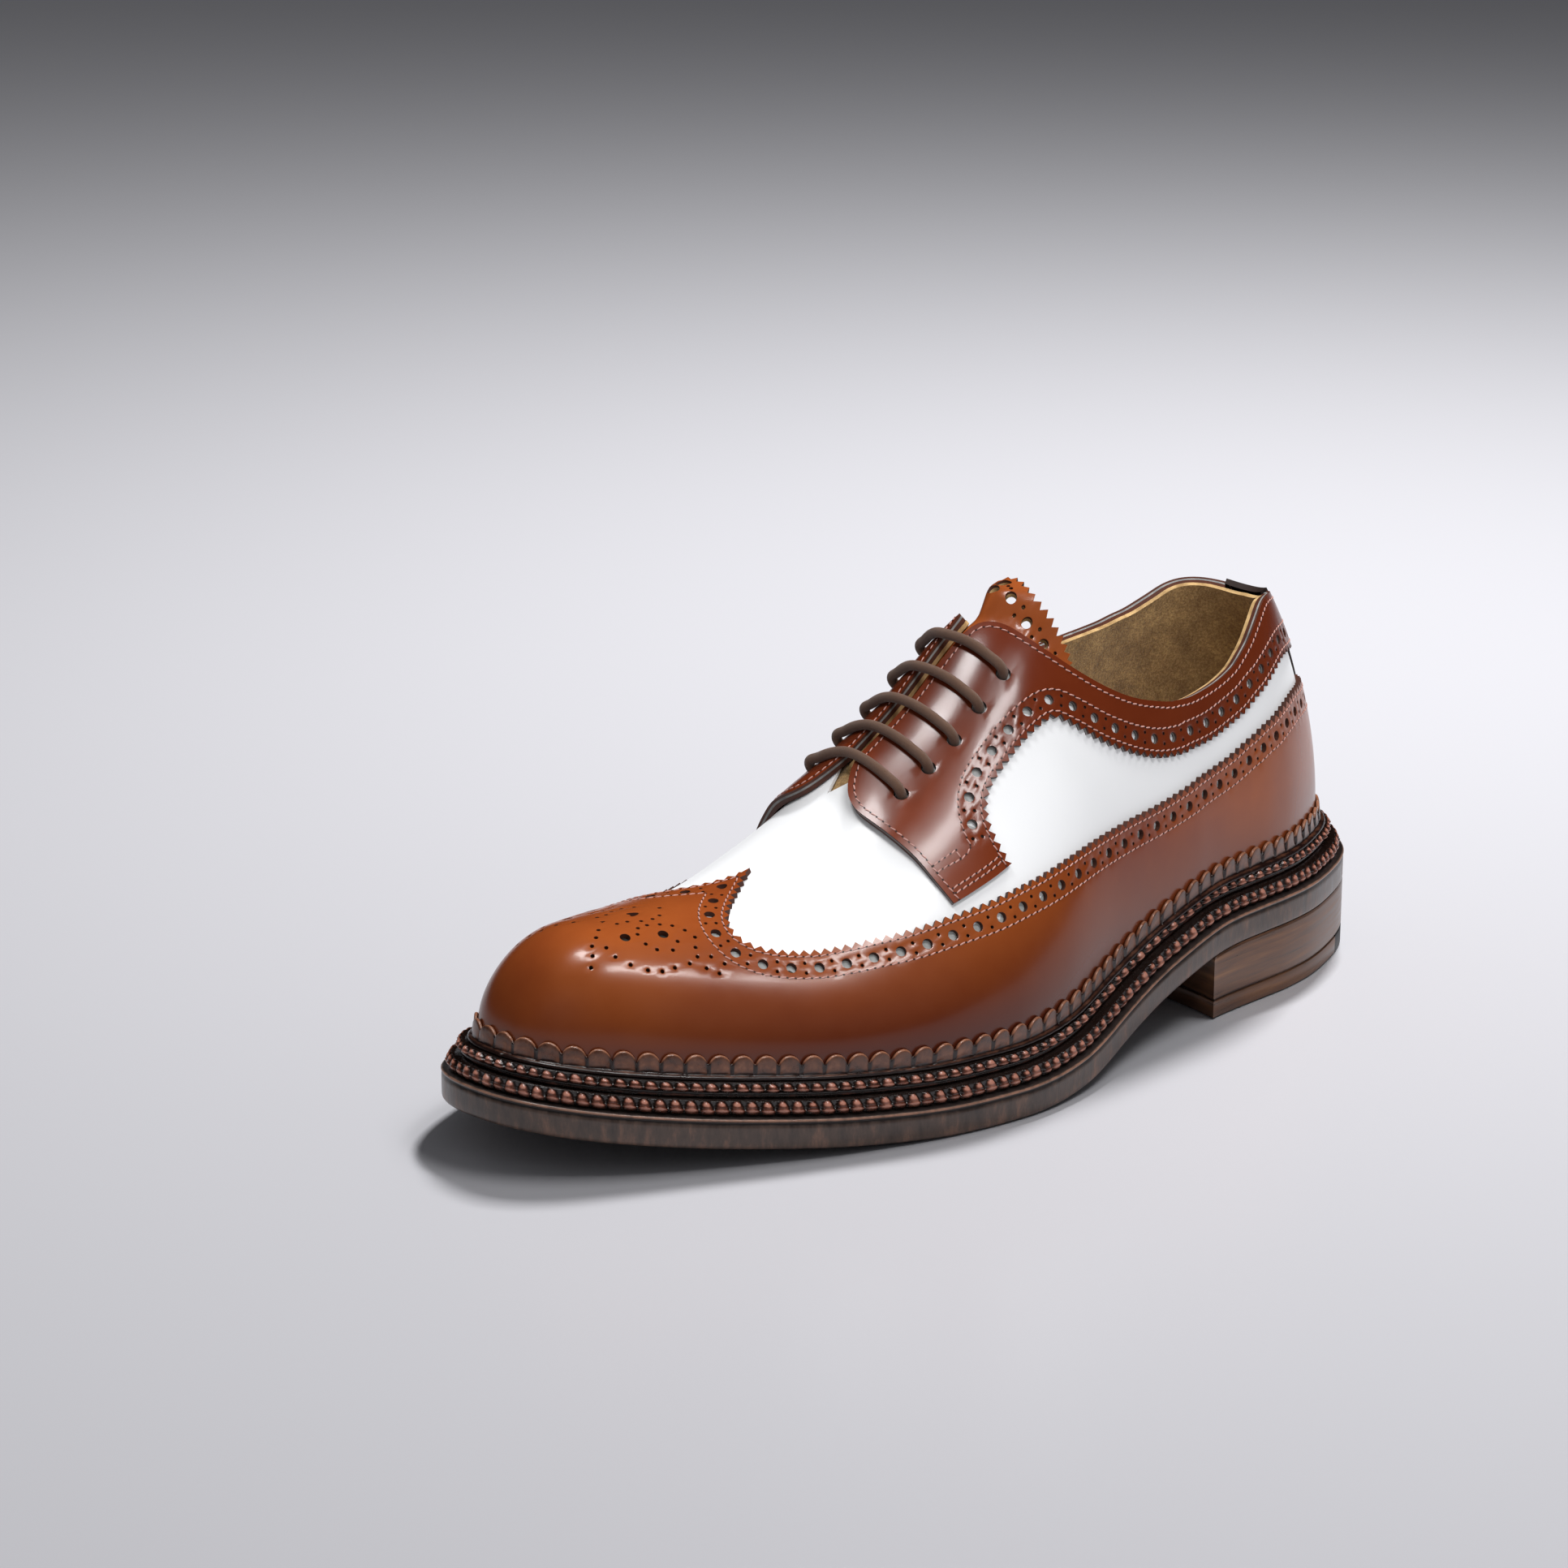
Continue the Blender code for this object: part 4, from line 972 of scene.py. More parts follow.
def stitches(name, lines, height, rise=no_rise):
    """Rows of thread stitches lying on the surface at a height, with dark discs of painted shade in the
    needle holes between.
    """
    form, form_faces = stitch_form()
    points = []
    faces = []
    dots = []
    dot_faces = []
    around = np.arange(6) * math.pi / 3.0
    for line in lines:
        if len(line) < 3:
            continue
        even = along_line(line, STITCH_PITCH / 2.0, even=True)
        where = offset_point(even[:, 0], even[:, 1], height + rise(even[:, 0], even[:, 1]))
        normal = last_normal(even[:, 0], even[:, 1])
        tangent = unit(np.gradient(where, axis=0))
        side = np.cross(normal, tangent)
        turn = math.radians(STITCH_SLANT)
        t = tangent * math.cos(turn) + side * math.sin(turn)
        s = np.cross(normal, t)
        for i in range(1, len(even) - 1, 2):
            first = len(points) * len(form)
            faces += [tuple(first + k for k in face) for face in form_faces]
            points.append(
                where[i]
                + form[:, :1] * STITCH_LENGTH * t[i]
                + form[:, 1:2] * (STITCH_WIDTH / 2.0) * s[i]
                + form[:, 2:] * (STITCH_WIDTH / 2.0) * normal[i]
            )
        # Dark discs of painted shade in the needle holes between the stitches
        for i in range(0, len(even), 2):
            dot_faces.append(tuple(len(dots) * 6 + k for k in range(6)))
            dots.append(
                where[i] + normal[i] * NEEDLE_LIFT
                + NEEDLE_RADIUS * (np.cos(around)[:, None] * t[i] * 1.25 + np.sin(around)[:, None] * s[i])
            )
    thread = make_mesh(name, np.vstack(points), faces, THREAD)
    holes = make_mesh(name + "_needle_hole_shade", np.vstack(dots), dot_faces, NEEDLE_SHADE, smooth=False)


def brogue_rows(edge, distance, pitch, big, small, apart, keep):
    """Large holes at even steps along a line, with a pair of small ones between each two."""
    line = trimmed(shifted(edge, distance), keep)
    even = along_line(line, pitch / 2.0, even=True)
    way = side_way(even)
    holes = [((even[i, 0], even[i, 1]), big, 16) for i in range(1, len(even), 2)]
    for i in range(0, len(even), 2):
        for sign in (-1.0, 1.0):
            point = even[i:i + 1] + chart_way(even[i:i + 1], way[i:i + 1] * sign * apart)
            holes.append(((point[0, 0], point[0, 1]), small, 8))
    return holes


def other_side(hole):
    """The same hole on the inner side of the shoe."""
    (around, up), radius, sides = hole
    return (around, 2.0 - up), radius, sides


# Materials

def new_look(name):
    """A new material with its node tree and its shader."""
    look = bpy.data.materials.new(name)
    look.use_nodes = True
    return look, look.node_tree, look.node_tree.nodes["Principled BSDF"]


def set_inputs(node, values):
    """Sets inputs of a node by their names."""
    for name, value in values.items():
        node.inputs[name].default_value = value


def noise(tree, scale, detail, rough, vector):
    node = tree.nodes.new("ShaderNodeTexNoise")
    set_inputs(node, {"Scale": scale, "Detail": detail, "Roughness": rough})
    tree.links.new(vector, node.inputs["Vector"])
    return node.outputs["Fac"]


def object_space(tree, scale=None):
    """Place on the object, stretched by a scale where one is given."""
    coords = tree.nodes.new("ShaderNodeTexCoord")
    if scale is None:
        return coords.outputs["Object"]
    mapping = tree.nodes.new("ShaderNodeMapping")
    mapping.inputs["Scale"].default_value = scale
    tree.links.new(coords.outputs["Object"], mapping.inputs["Vector"])
    return mapping.outputs["Vector"]


def ramp(tree, value, stops):
    """Colour read off a row of stops, each a place and a colour."""
    node = tree.nodes.new("ShaderNodeValToRGB")
    while len(node.color_ramp.elements) < len(stops):
        node.color_ramp.elements.new(0.5)
    for element, (at, colour) in zip(node.color_ramp.elements, stops):
        element.position = at
        element.color = (*colour, 1.0)
    tree.links.new(value, node.inputs["Fac"])
    return node.outputs["Color"]


def spread(tree, value, low, high, to_low, to_high):
    """The value moved from one range to another."""
    node = tree.nodes.new("ShaderNodeMapRange")
    set_inputs(node, {"From Min": low, "From Max": high, "To Min": to_low, "To Max": to_high})
    tree.links.new(value, node.inputs["Value"])
    return node.outputs["Result"]


def added(tree, value, share, other):
    """A share of one value added to another."""
    node = tree.nodes.new("ShaderNodeMath")
    node.operation = "MULTIPLY_ADD"
    tree.links.new(value, node.inputs[0])
    node.inputs[1].default_value = share
    tree.links.new(other, node.inputs[2])
    return node.outputs[0]


def mixed(tree, factor, first, second, blend="MIX"):
    """Mix of two colours, each a socket or three plain numbers."""
    node = tree.nodes.new("ShaderNodeMix")
    node.data_type = "RGBA"
    node.blend_type = blend
    for socket, value in ((node.inputs[0], factor), (node.inputs[6], first), (node.inputs[7], second)):
        if isinstance(value, bpy.types.NodeSocket):
            tree.links.new(value, socket)
        elif isinstance(value, tuple):
            socket.default_value = (*value, 1.0)
        else:
            socket.default_value = value
    return node.outputs[2]


def bumped(tree, shader, layers):
    """Bump from several heights. layers: rows of a value, a strength and a depth."""
    normal = None
    for value, strength, depth in layers:
        node = tree.nodes.new("ShaderNodeBump")
        set_inputs(node, {"Strength": strength, "Distance": depth})
        tree.links.new(value, node.inputs["Height"])
        if normal is not None:
            tree.links.new(normal, node.inputs["Normal"])
        normal = node.outputs["Normal"]
    tree.links.new(normal, shader.inputs["Normal"])


def leather(name, light, dark, rough=0.25, coat=0.2, grain=0.3, painted_shade=None):
    """Polished leather: a colour that drifts in soft patches, a fine grain and a waxed coat.

    painted shade, where it is given: a deeper colour and the heights where it fills the leather
    and where it ends. It darkens the upper towards the welt.
    """
    look, tree, shader = new_look(name)
    space = object_space(tree)
    drift = noise(tree, 14.0, 3.0, 0.55, space)
    mottle = noise(tree, 220.0, 2.0, 0.5, space)
    colour = ramp(tree, added(tree, mottle, 0.10, drift), [(0.35, dark), (0.75, light)])
    # Painted shade: the colour deepens lower down on the object
    if painted_shade is not None:
        deep, low, high = painted_shade
        apart = tree.nodes.new("ShaderNodeSeparateXYZ")
        tree.links.new(space, apart.inputs[0])
        colour = mixed(tree, spread(tree, apart.outputs["Z"], low, high, 1.0, 0.0), colour, deep)
    tree.links.new(colour, shader.inputs["Base Color"])
    tree.links.new(spread(tree, mottle, 0.2, 0.8, rough - 0.02, rough + 0.02), shader.inputs["Roughness"])
    set_inputs(shader, {"Coat Weight": coat, "Coat Roughness": 0.12, "Specular IOR Level": 0.36})
    fine = noise(tree, 2600.0, 3.0, 0.6, space)
    wave = noise(tree, 90.0, 3.0, 0.5, space)
    bumped(tree, shader, [(wave, 0.10 * grain, 0.0010), (fine, 0.30 * grain, 0.00005)])
    return look


def plain(name, colour, rough, bump_scale=700.0, bump=0.2, second=None):
    """A simple finish with a slight mottle and a fine bump."""
    look, tree, shader = new_look(name)
    space = object_space(tree)
    second = second or tuple(0.72 * c for c in colour)
    mottle = noise(tree, bump_scale * 0.35, 4.0, 0.6, space)
    tree.links.new(ramp(tree, mottle, [(0.35, second), (0.65, colour)]), shader.inputs["Base Color"])
    tree.links.new(spread(tree, mottle, 0.3, 0.7, rough - 0.05, rough + 0.05), shader.inputs["Roughness"])
    bumped(tree, shader, [(noise(tree, bump_scale, 4.0, 0.6, space), bump, 0.0003)])
    return look


def suede(name, light, dark):
    """Napped lining: a soft blotchy colour with raised fibres."""
    look, tree, shader = new_look(name)
    space = object_space(tree)
    blotch = noise(tree, 120.0, 6.0, 0.65, space)
    fibre = noise(tree, 1400.0, 4.0, 0.7, space)
    colour = ramp(tree, blotch, [(0.34, dark), (0.66, light)])
    pale = ramp(tree, fibre, [(0.40, tuple(0.62 * c for c in dark)), (0.62, (1.0, 1.0, 1.0))])
    tree.links.new(mixed(tree, 0.55, colour, pale, "MULTIPLY"), shader.inputs["Base Color"])
    set_inputs(shader, {"Roughness": 0.93, "Sheen Weight": 0.25, "Sheen Roughness": 0.5})
    bumped(tree, shader, [(blotch, 0.25, 0.0010), (fibre, 0.7, 0.0005)])
    return look


def shaded_relief(name, shades_and_glints, rough, coat, streak=None, patch=260.0, bump=0.3):
    """Relief work: painted shade in the grooves and a warm painted highlight on the raised parts."""
    look, tree, shader = new_look(name)
    space = object_space(tree, streak)
    # Painted shade and highlight, read from a value at each point
    shade_and_glint = tree.nodes.new("ShaderNodeAttribute")
    shade_and_glint.attribute_name = "shade_and_glint"
    wear = noise(tree, patch, 5.0, 0.65, space)
    colour = ramp(tree, added(tree, wear, 0.7, shade_and_glint.outputs["Fac"]), list(zip((0.14, 0.38, 0.66), shades_and_glints)))
    tree.links.new(colour, shader.inputs["Base Color"])
    tree.links.new(spread(tree, wear, 0.3, 0.7, rough - 0.08, rough + 0.1), shader.inputs["Roughness"])
    set_inputs(shader, {"Coat Weight": coat, "Coat Roughness": 0.22})
    bumped(tree, shader, [(wear, bump, 0.0005)])
    return look


WHITE = leather("white_calf", (0.78, 0.785, 0.795), (0.745, 0.75, 0.76), 0.36, 0.12, 0.12)
# The wing cap's brown gets painted shade, full below 20 mm over the floor and gone by 56 mm
BROWN = leather("brown_calf", (0.285, 0.068, 0.014), (0.165, 0.030, 0.007),
                painted_shade=((0.060, 0.010, 0.004), 0.020, 0.056))
BROWN_TOP = leather("brown_calf_facing", (0.150, 0.027, 0.0070), (0.100, 0.016, 0.0045))
TONGUE_BROWN = leather("tongue_calf", (0.33, 0.085, 0.020), (0.23, 0.052, 0.012))
CUT_EDGE = plain("cut_leather_edge", (0.070, 0.020, 0.010), 0.7)
GREY_LAYER = plain("canvas_interlining", (0.26, 0.26, 0.25), 0.85, second=(0.12, 0.12, 0.12))
TAN_LAYER = plain("lining_cut_edge", (0.50, 0.33, 0.15), 0.8, second=(0.28, 0.17, 0.07))
# Grey painted shade for the white upper under the panels' hole rows, so that the holes look into shadow
SHADE_UNDERLAY = plain("shaded_underlay", (0.50, 0.51, 0.50), 0.7)
DARK_UNDERLAY = plain("dark_underlay", (0.024, 0.024, 0.020), 0.8)
LINING = suede("suede_lining", (0.66, 0.43, 0.175), (0.36, 0.215, 0.080))
THREAD = plain("waxed_thread", (0.52, 0.29, 0.25), 0.5, bump_scale=2500.0, bump=0.4)
# Dark discs that paint the shade inside the needle holes
NEEDLE_SHADE = plain("needle_hole_shade", (0.014, 0.006, 0.005), 0.8)
STRIP = plain("back_strip_leather", (0.020, 0.011, 0.009), 0.62)
# Relief work: each row of three colours runs from painted shade in the grooves to a painted highlight on the
# raised parts
WELT = shaded_relief("beaded_welt_leather",
             [(0.008, 0.004, 0.003), (0.088, 0.026, 0.015), (0.36, 0.155, 0.110)], 0.28, 0.5)
LOBES = shaded_relief("scalloped_welt_leather",
              [(0.012, 0.005, 0.004), (0.098, 0.036, 0.019), (0.27, 0.115, 0.065)], 0.32, 0.35,
              bump=0.35)
OUTSOLE = shaded_relief("outsole_edge_leather",
                [(0.014, 0.010, 0.009), (0.062, 0.039, 0.030), (0.230, 0.115, 0.075)], 0.36, 0.3,
                streak=(1.0, 1.0, 0.35), patch=330.0)
HEEL = shaded_relief("stacked_heel_leather",
             [(0.024, 0.012, 0.008), (0.115, 0.048, 0.022), (0.270, 0.130, 0.058)], 0.34, 0.15,
             streak=(0.16, 0.16, 3.2), patch=190.0, bump=0.12)
SOLE_FACE = plain("tread_leather", (0.060, 0.042, 0.034), 0.6)
RUBBER = plain("rubber_quarter_finish", (0.028, 0.026, 0.026), 0.55)


# Sole and welts

def even_around(spacing):
    """Places round the sole at even distances, and the way along its edge to each."""
    around = np.linspace(0.0, 1.0, 4001)
    length = arc_length(sole_outline(around))
    count = int(round(length[-1] / spacing))
    at = np.arange(count) * length[-1] / count
    return np.interp(at, length, around), at


def strip_faces(rows, count):
    """Faces between closed rings of points that follow each other."""
    faces = []
    for k in range(rows - 1):
        for i in range(count):
            j = (i + 1) % count
            faces.append((k * count + i, k * count + j, (k + 1) * count + j, (k + 1) * count + i))
    return faces


BEAD_PITCH = 3.95 * MM
BEAD_STEP = 0.36 * MM            # between mesh points along the welt
BEAD_RINGS = 19                  # from the top of a bead to its foot
CROWN_SHARE = 0.52               # part of a bead's height that its narrower crown takes up
CHANNEL_LIMIT = 0.8              # a row of beads that takes up less leaves room for a channel
# Part of each welt's height that its beads take up: the lower welt, then the upper
BEAD_SHARE = (0.92, 0.62)


def beaded_welt(name, edge, bottom, top, share, node, phase):
    """Welt with a row of wheeled beads along its upper edge, over a plain channel darkened with painted
    shade.

    share: the part of the edge's height that the beads take up. Each bead has a pointed crown
    over a wider foot. phase: the part of a bead by which the row is moved along.
    """
    around, length = even_around(BEAD_STEP)
    total = length[-1] + length[1]
    beads = round(total / BEAD_PITCH)
    turn = length / total * beads + phase
    number = np.floor(np.mod(turn, beads))
    height = top - bottom
    low = top - share * height
    rings = []
    shades_and_glints = []

    def add(depth, lift, shade_and_glint):
        rings.append(ring(around, depth + 0.0 * around, lift + 0.0 * around))
        shades_and_glints.append(shade_and_glint + 0.0 * around)

    # Painted shade on the welt's top, where it meets the part above
    for depth, drop, shade_and_glint in ((7.0, 0.15, -0.3), (2.6, 0.15, -0.45), (2.3, 0.9, -0.5)):
        add(edge + depth * MM, top - drop * MM, shade_and_glint)
    for k in range(BEAD_RINGS):
        v = k / (BEAD_RINGS - 1.0)
        if v < CROWN_SHARE:
            width = 0.30 + 0.60 * (v / CROWN_SHARE)
            proud = 0.80
        else:
            tier = (v - CROWN_SHARE) / (1.0 - CROWN_SHARE)
            width = 0.66 + 0.34 * math.sin(math.pi * min(tier, 0.7))
            proud = 1.0
        phi = np.mod(turn + 0.10 * (v - 0.5), 1.0)
        away = np.abs(2.0 * phi - 1.0) / width
        bump = np.sqrt(np.maximum(1.0 - away**2, 0.0))
        arch = max(math.sin(math.pi * (0.06 + 0.90 * v)), 0.0) ** 0.55
        swell = 1.0 + 0.16 * np.sin(number * 2.4) * np.cos(number * 0.9)
        reach = (0.10 + 1.50 * bump * swell * proud) * MM * arch
        # Painted highlight, the glint, on each bead; painted shade in the gaps between the beads
        glint = 0.55 * math.exp(-((v - 0.20) / 0.12) ** 2) + 0.35 * math.exp(-((v - 0.66) / 0.12) ** 2)
        add(edge + 1.65 * MM - reach, top - (top - low) * (v - 0.02 * np.sin(number * 1.7)),
            bump * (0.42 + glint) - 0.42 + 0.08 * np.sin(number * 3.1))
    # Painted shade in the channel, deepest at its edges
    if share < CHANNEL_LIMIT:
        channel = ((0.90, 1.70, -0.42), (0.55, 1.35, -0.22), (0.25, 1.30, -0.16), (0.04, 1.55, -0.40))
        for lift, depth, shade_and_glint in channel:
            add(edge + depth * MM, bottom + lift * (low - bottom), shade_and_glint)
    # Painted shade at the welt's foot
    add(edge + 2.4 * MM, bottom, -0.5)
    faces = [face[::-1] for face in strip_faces(len(rings), len(around))]
    made = make_mesh(name, np.vstack(rings), faces, WELT, shade_and_glint=np.concatenate(shades_and_glints))
    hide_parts(node)


LOBE_PITCH = 5.9 * MM
LOBE_STEP = 0.42 * MM            # between mesh points along the storm welt
# Rows of the storm welt from behind its lobes to its foot. away: millimetres outward. turned:
# share of the lobes' overlap. lip: share of the lobe's height. plus: millimetres added to it.
# The last column paints shade below 0 and highlight above 0: shade behind the lobes, highlight on their rims.
LOBE_ROWS = [
    # away turned lip plus  tone
    (-0.30, 0.0, 0.30, 0.0, -0.50),
    (0.05, 0.0, 1.0, -0.70, -0.45),
    (0.30, 0.5, 1.0, -0.08, 0.12),
    (0.65, 1.0, 1.0, 0.0, 0.40),
    (1.00, 1.0, 1.0, -0.18, 0.26),
    (1.15, 1.0, 1.0, -0.55, -0.04),
    (1.20, 1.0, 0.74, 0.0, -0.02),
    (1.40, 1.0, 0.52, 0.0, 0.05),
    (1.60, 0.5, 0.34, 0.0, 0.0),
    (1.70, 0.0, 0.20, 0.0, -0.30),
    (2.00, 0.0, 0.0, 0.95, -0.12),
    (2.50, 0.0, 0.0, 0.90, -0.12),
    (3.00, 0.0, 0.0, 0.55, -0.30),
    (3.20, 0.0, 0.0, 0.05, -0.50),
]


def storm_lobes():
    """Scalloped storm welt: half-round lobes that stand against the upper over a rolled ledge."""
    places = np.linspace(0.0, 1.0, 4001)
    length = arc_length(FEATHER.point(places))
    count = int(round(length[-1] / LOBE_STEP))
    at = np.arange(count) * length[-1] / count
    around = np.interp(at, length, places)
    lobes = round(length[-1] / LOBE_PITCH)
    phi = np.mod(at / length[-1] * lobes, 1.0)
    arch = np.sqrt(np.maximum(1.0 - (2.0 * phi - 1.0) ** 2, 0.0))
    # Painted shade where two lobes meet
    groove = np.exp(-((np.minimum(phi, 1.0 - phi)) / 0.055) ** 2)
    foot = up_at_height(around, 0.02 * MM)
    outward = unit(last_normal(around, foot) * [1.0, 1.0, 0.0])
    base = last_point(around, foot)
    lip = STORM_HEIGHT * (0.62 + 0.85 * arch)
    overlap = 0.55 * MM * (phi - 0.5)
    rings = []
    shades_and_glints = []
    for k, (away, turned, of_lip, plus, shade_and_glint) in enumerate(LOBE_ROWS):
        height = of_lip * lip + plus * MM
        side = base + outward * (FACE + away * MM + turned * overlap)[:, None]
        wall = up_at_height(around, np.minimum(height, STORM_HEIGHT * 1.5))
        side = side + (last_point(around, wall) - base) * [1.0, 1.0, 0.0]
        side[:, 2] = sole_rise(side[:, 0]) + FEATHER_RISE + height
        rings.append(side)
        # Painted shade in the grooves between the lobes, on the rows of their faces
        dark = 0.7 * groove if 1 < k < 9 else 0.0 * groove
        shades_and_glints.append(shade_and_glint - dark)
    made = make_mesh("storm_welt_scallops", np.vstack(rings), strip_faces(len(rings), count), LOBES,
                     shade_and_glint=np.concatenate(shades_and_glints))
    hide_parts("welt_storm")


# The outsole's edge from the tread to the welt. inset, height: millimetres. The last column
# paints shade below 0, in the groove, and a highlight above 0, on the bead along the top.
OUTSOLE_EDGE = [
    # inset height tone
    (0.9, 0.00, -0.1),
    (0.35, 0.12, 0.0),
    (0.08, 0.5, 0.05),
    (0.0, 1.0, 0.05),
    (0.0, 3.0, 0.0),
    (0.0, 5.4, 0.0),
    (0.05, 6.3, -0.05),
    (0.42, 6.85, -0.3),
    (0.42, 7.1, -0.3),
    (0.0, 7.35, 0.1),
    (-0.12, 7.65, 0.3),
    (0.05, 8.0, 0.2),
    (0.5, 8.2, -0.3),
    (3.0, 8.2, -0.4),
]


def fine_outsole():
    """Outsole with a rounded tread edge, a flat side and a bead along its top that carries a painted
    highlight.
    """
    around = stations(560, (ARCH[-3, 0], SPRING_START))
    count = len(around)
    rings = [ring(around, np.full(count, inset * MM), height * MM) for inset, height, _ in OUTSOLE_EDGE]
    # Painted shade and highlight from the table's last column
    shades_and_glints = [np.full(count, shade_and_glint) for _, _, shade_and_glint in OUTSOLE_EDGE]
    faces = strip_faces(len(rings), count)
    index = [0] * len(faces)
    last = (len(rings) - 1) * count
    for first, upward in ((0, False), (last, True)):
        for i in range(count // 2):
            face = [first + i, first + i + 1, first + count - i - 1, first + (count - i) % count]
            face = list(dict.fromkeys(face))
            faces.append(tuple(face if upward else face[::-1]))
            index.append(1)
    made = make_mesh("outsole_edge", np.vstack(rings), faces, [OUTSOLE, SOLE_FACE], index, sharp=60.0,
                     shade_and_glint=np.concatenate(shades_and_glints))
    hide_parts("outsole")


def heel_block(name, start, end, hollow, low, high, look, face_look, node):
    """Heel layer with a fine outline and softened rims."""
    outline = heel_outline(start, end, hollow, 0.9 * MM)
    z_low = low(outline[:, 0])
    z_high = high(outline[:, 0])
    centre = outline.mean(axis=0)
    inward = np.roll(outline, -1, axis=0) - np.roll(outline, 1, axis=0)
    inward = unit(np.column_stack([inward[:, 1], -inward[:, 0]]))
    inward *= np.sign(((centre - outline) * inward).sum(1).mean())
    levels = [(0.0, 0.35), (0.035, 0.08), (0.06, 0.0), (0.94, 0.0), (0.965, 0.08), (1.0, 0.3)]
    rings = []
    shades_and_glints = []
    for share, inset in levels:
        z = z_low + (z_high - z_low) * share
        rings.append(np.column_stack([outline + inward * inset * MM, z]))
        # Painted shade on the softened rims, where the layers meet
        shades_and_glints.append(np.full(len(outline), 0.0 if inset < 0.05 else -0.12))
    count = len(outline)
    faces = strip_faces(len(rings), count)
    index = [0] * len(faces)
    points = np.vstack(rings)
    flat_shade_and_glint = np.concatenate(shades_and_glints)
    for ring_number, upward in ((0, False), (len(rings) - 1, True)):
        rim = rings[ring_number]
        loop = rim[:, :2] / MM
        border = [(i, (i + 1) % count) for i in range(count)]
        result = delaunay_2d_cdt([Vector(p) for p in loop], border, [], 1, 1e-7)
        for face in result[2]:
            cell = [ring_number * count + i for i in face if i < count]
            if len(cell) == 3:
                a, b, c = (points[i][:2] for i in cell)
                area = (b[0] - a[0]) * (c[1] - a[1]) - (b[1] - a[1]) * (c[0] - a[0])
                if (area > 0) != upward:
                    cell.reverse()
                faces.append(tuple(cell))
                index.append(1)
    made = make_mesh(name, points, faces, [look, face_look], index, sharp=45.0, shade_and_glint=flat_shade_and_glint)
    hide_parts(node)


def dress_sole():
    fine_outsole()
    for number, name in enumerate(("welt_lower", "welt_upper")):
        bottom = OUTSOLE_THICKNESS + CLEARANCE + number * (WELT_THICKNESS + CLEARANCE)
        edge = OUTSOLE_LEDGE + number * WELT_STEP
        beaded_welt(name + "_beads", edge, bottom - 0.1 * MM, bottom + WELT_THICKNESS,
                    BEAD_SHARE[number], name, 0.5 * number)
    storm_lobes()
    heel_block("heel_stack_lifts", -1.0, HEEL_BREAST, BREAST_HOLLOW,
               lambda x: np.full_like(x, TOP_PIECE_THICKNESS + 0.1 * MM), lambda x: sole_rise(x) - 0.05 * MM,
               HEEL, SOLE_FACE, "heel_stack")
    heel_block("top_piece_edge", QUARTER_TIP_FRONT + 0.15 * MM, HEEL_BREAST, BREAST_HOLLOW,
               lambda x: np.zeros_like(x), lambda x: np.full_like(x, TOP_PIECE_THICKNESS),
               HEEL, SOLE_FACE, "heel_top_piece")
    heel_block("rubber_quarter_edge", -1.0, QUARTER_TIP_FRONT, 0.0,
               lambda x: np.zeros_like(x), lambda x: np.full_like(x, TOP_PIECE_THICKNESS),
               RUBBER, RUBBER, "heel_rubber_quarter")


# Upper

def upper_region(top_drop, slot_pull):
    """The upper's outline in the chart, with its top line lowered and its gap widened."""
    outer_top, inner_top = wall_top()
    outer_top = outer_top - [0.0, top_drop]
    inner_top = inner_top + [0.0, top_drop]
    slot = throat_edge() - [0.0, slot_pull]
    foot = 0.004
    feather = np.column_stack([np.linspace(0.0, 0.5, 80), np.full(80, foot)])
    outer_back = np.array([[0.0, outer_top[0, 1]], [0.0, foot]])
    inner_back = np.array([[0.0, 2.0 - foot], [0.0, inner_top[0, 1]]])
    tip = np.array([[SLOT_FRONT + 0.003 + 0.2 * slot_pull, 1.0]])
    return [
        feather,
        *toe_fold(foot),
        mirrored(feather)[::-1],
        inner_back,
        inner_top,
        np.vstack([inner_top[-1:], mirrored(slot)[:1]]),
        mirrored(slot),
        np.vstack([mirrored(slot)[-1:], tip]),
        np.vstack([tip, slot[-1:]]),
        slot[::-1],
        np.vstack([slot[:1], outer_top[-1:]]),
        outer_top[::-1],
        outer_back,
    ]


FLAP_REACH = 8.0                 # rough millimetres from the facings' free edge
FLAP_RISE = 0.6 * MM
VAMP_DIP = 0.9 * MM
# Underlays of the upper, from the edge of the panel over them, in rough millimetres: grey painted
# shade under the hole rows, and the dark underlay under the toe's medallion
WING_SHADE = 3.4
FACING_SHADE = 4.4
WING_DARK = 8.6


def flap_fade(around, up):
    """1 at the free front edge of the facings, fading away from it and down their tails."""
    chart = folded(np.column_stack([around, up]))
    away = line_distance(chart, smooth_line(FACING_FRONT, 24))
    return np.exp(-((away / FLAP_REACH) ** 2)) * np.clip((chart[:, 1] - 0.47) / 0.22, 0.0, 1.0)


def vamp_dip(around, up):
    """The white upper gives way under the facings' free edge."""
    return -VAMP_DIP * flap_fade(around, up)


def flap_rise(around, up):
    """The facings stand off the upper along their free edge."""
    return FLAP_RISE * flap_fade(around, up)


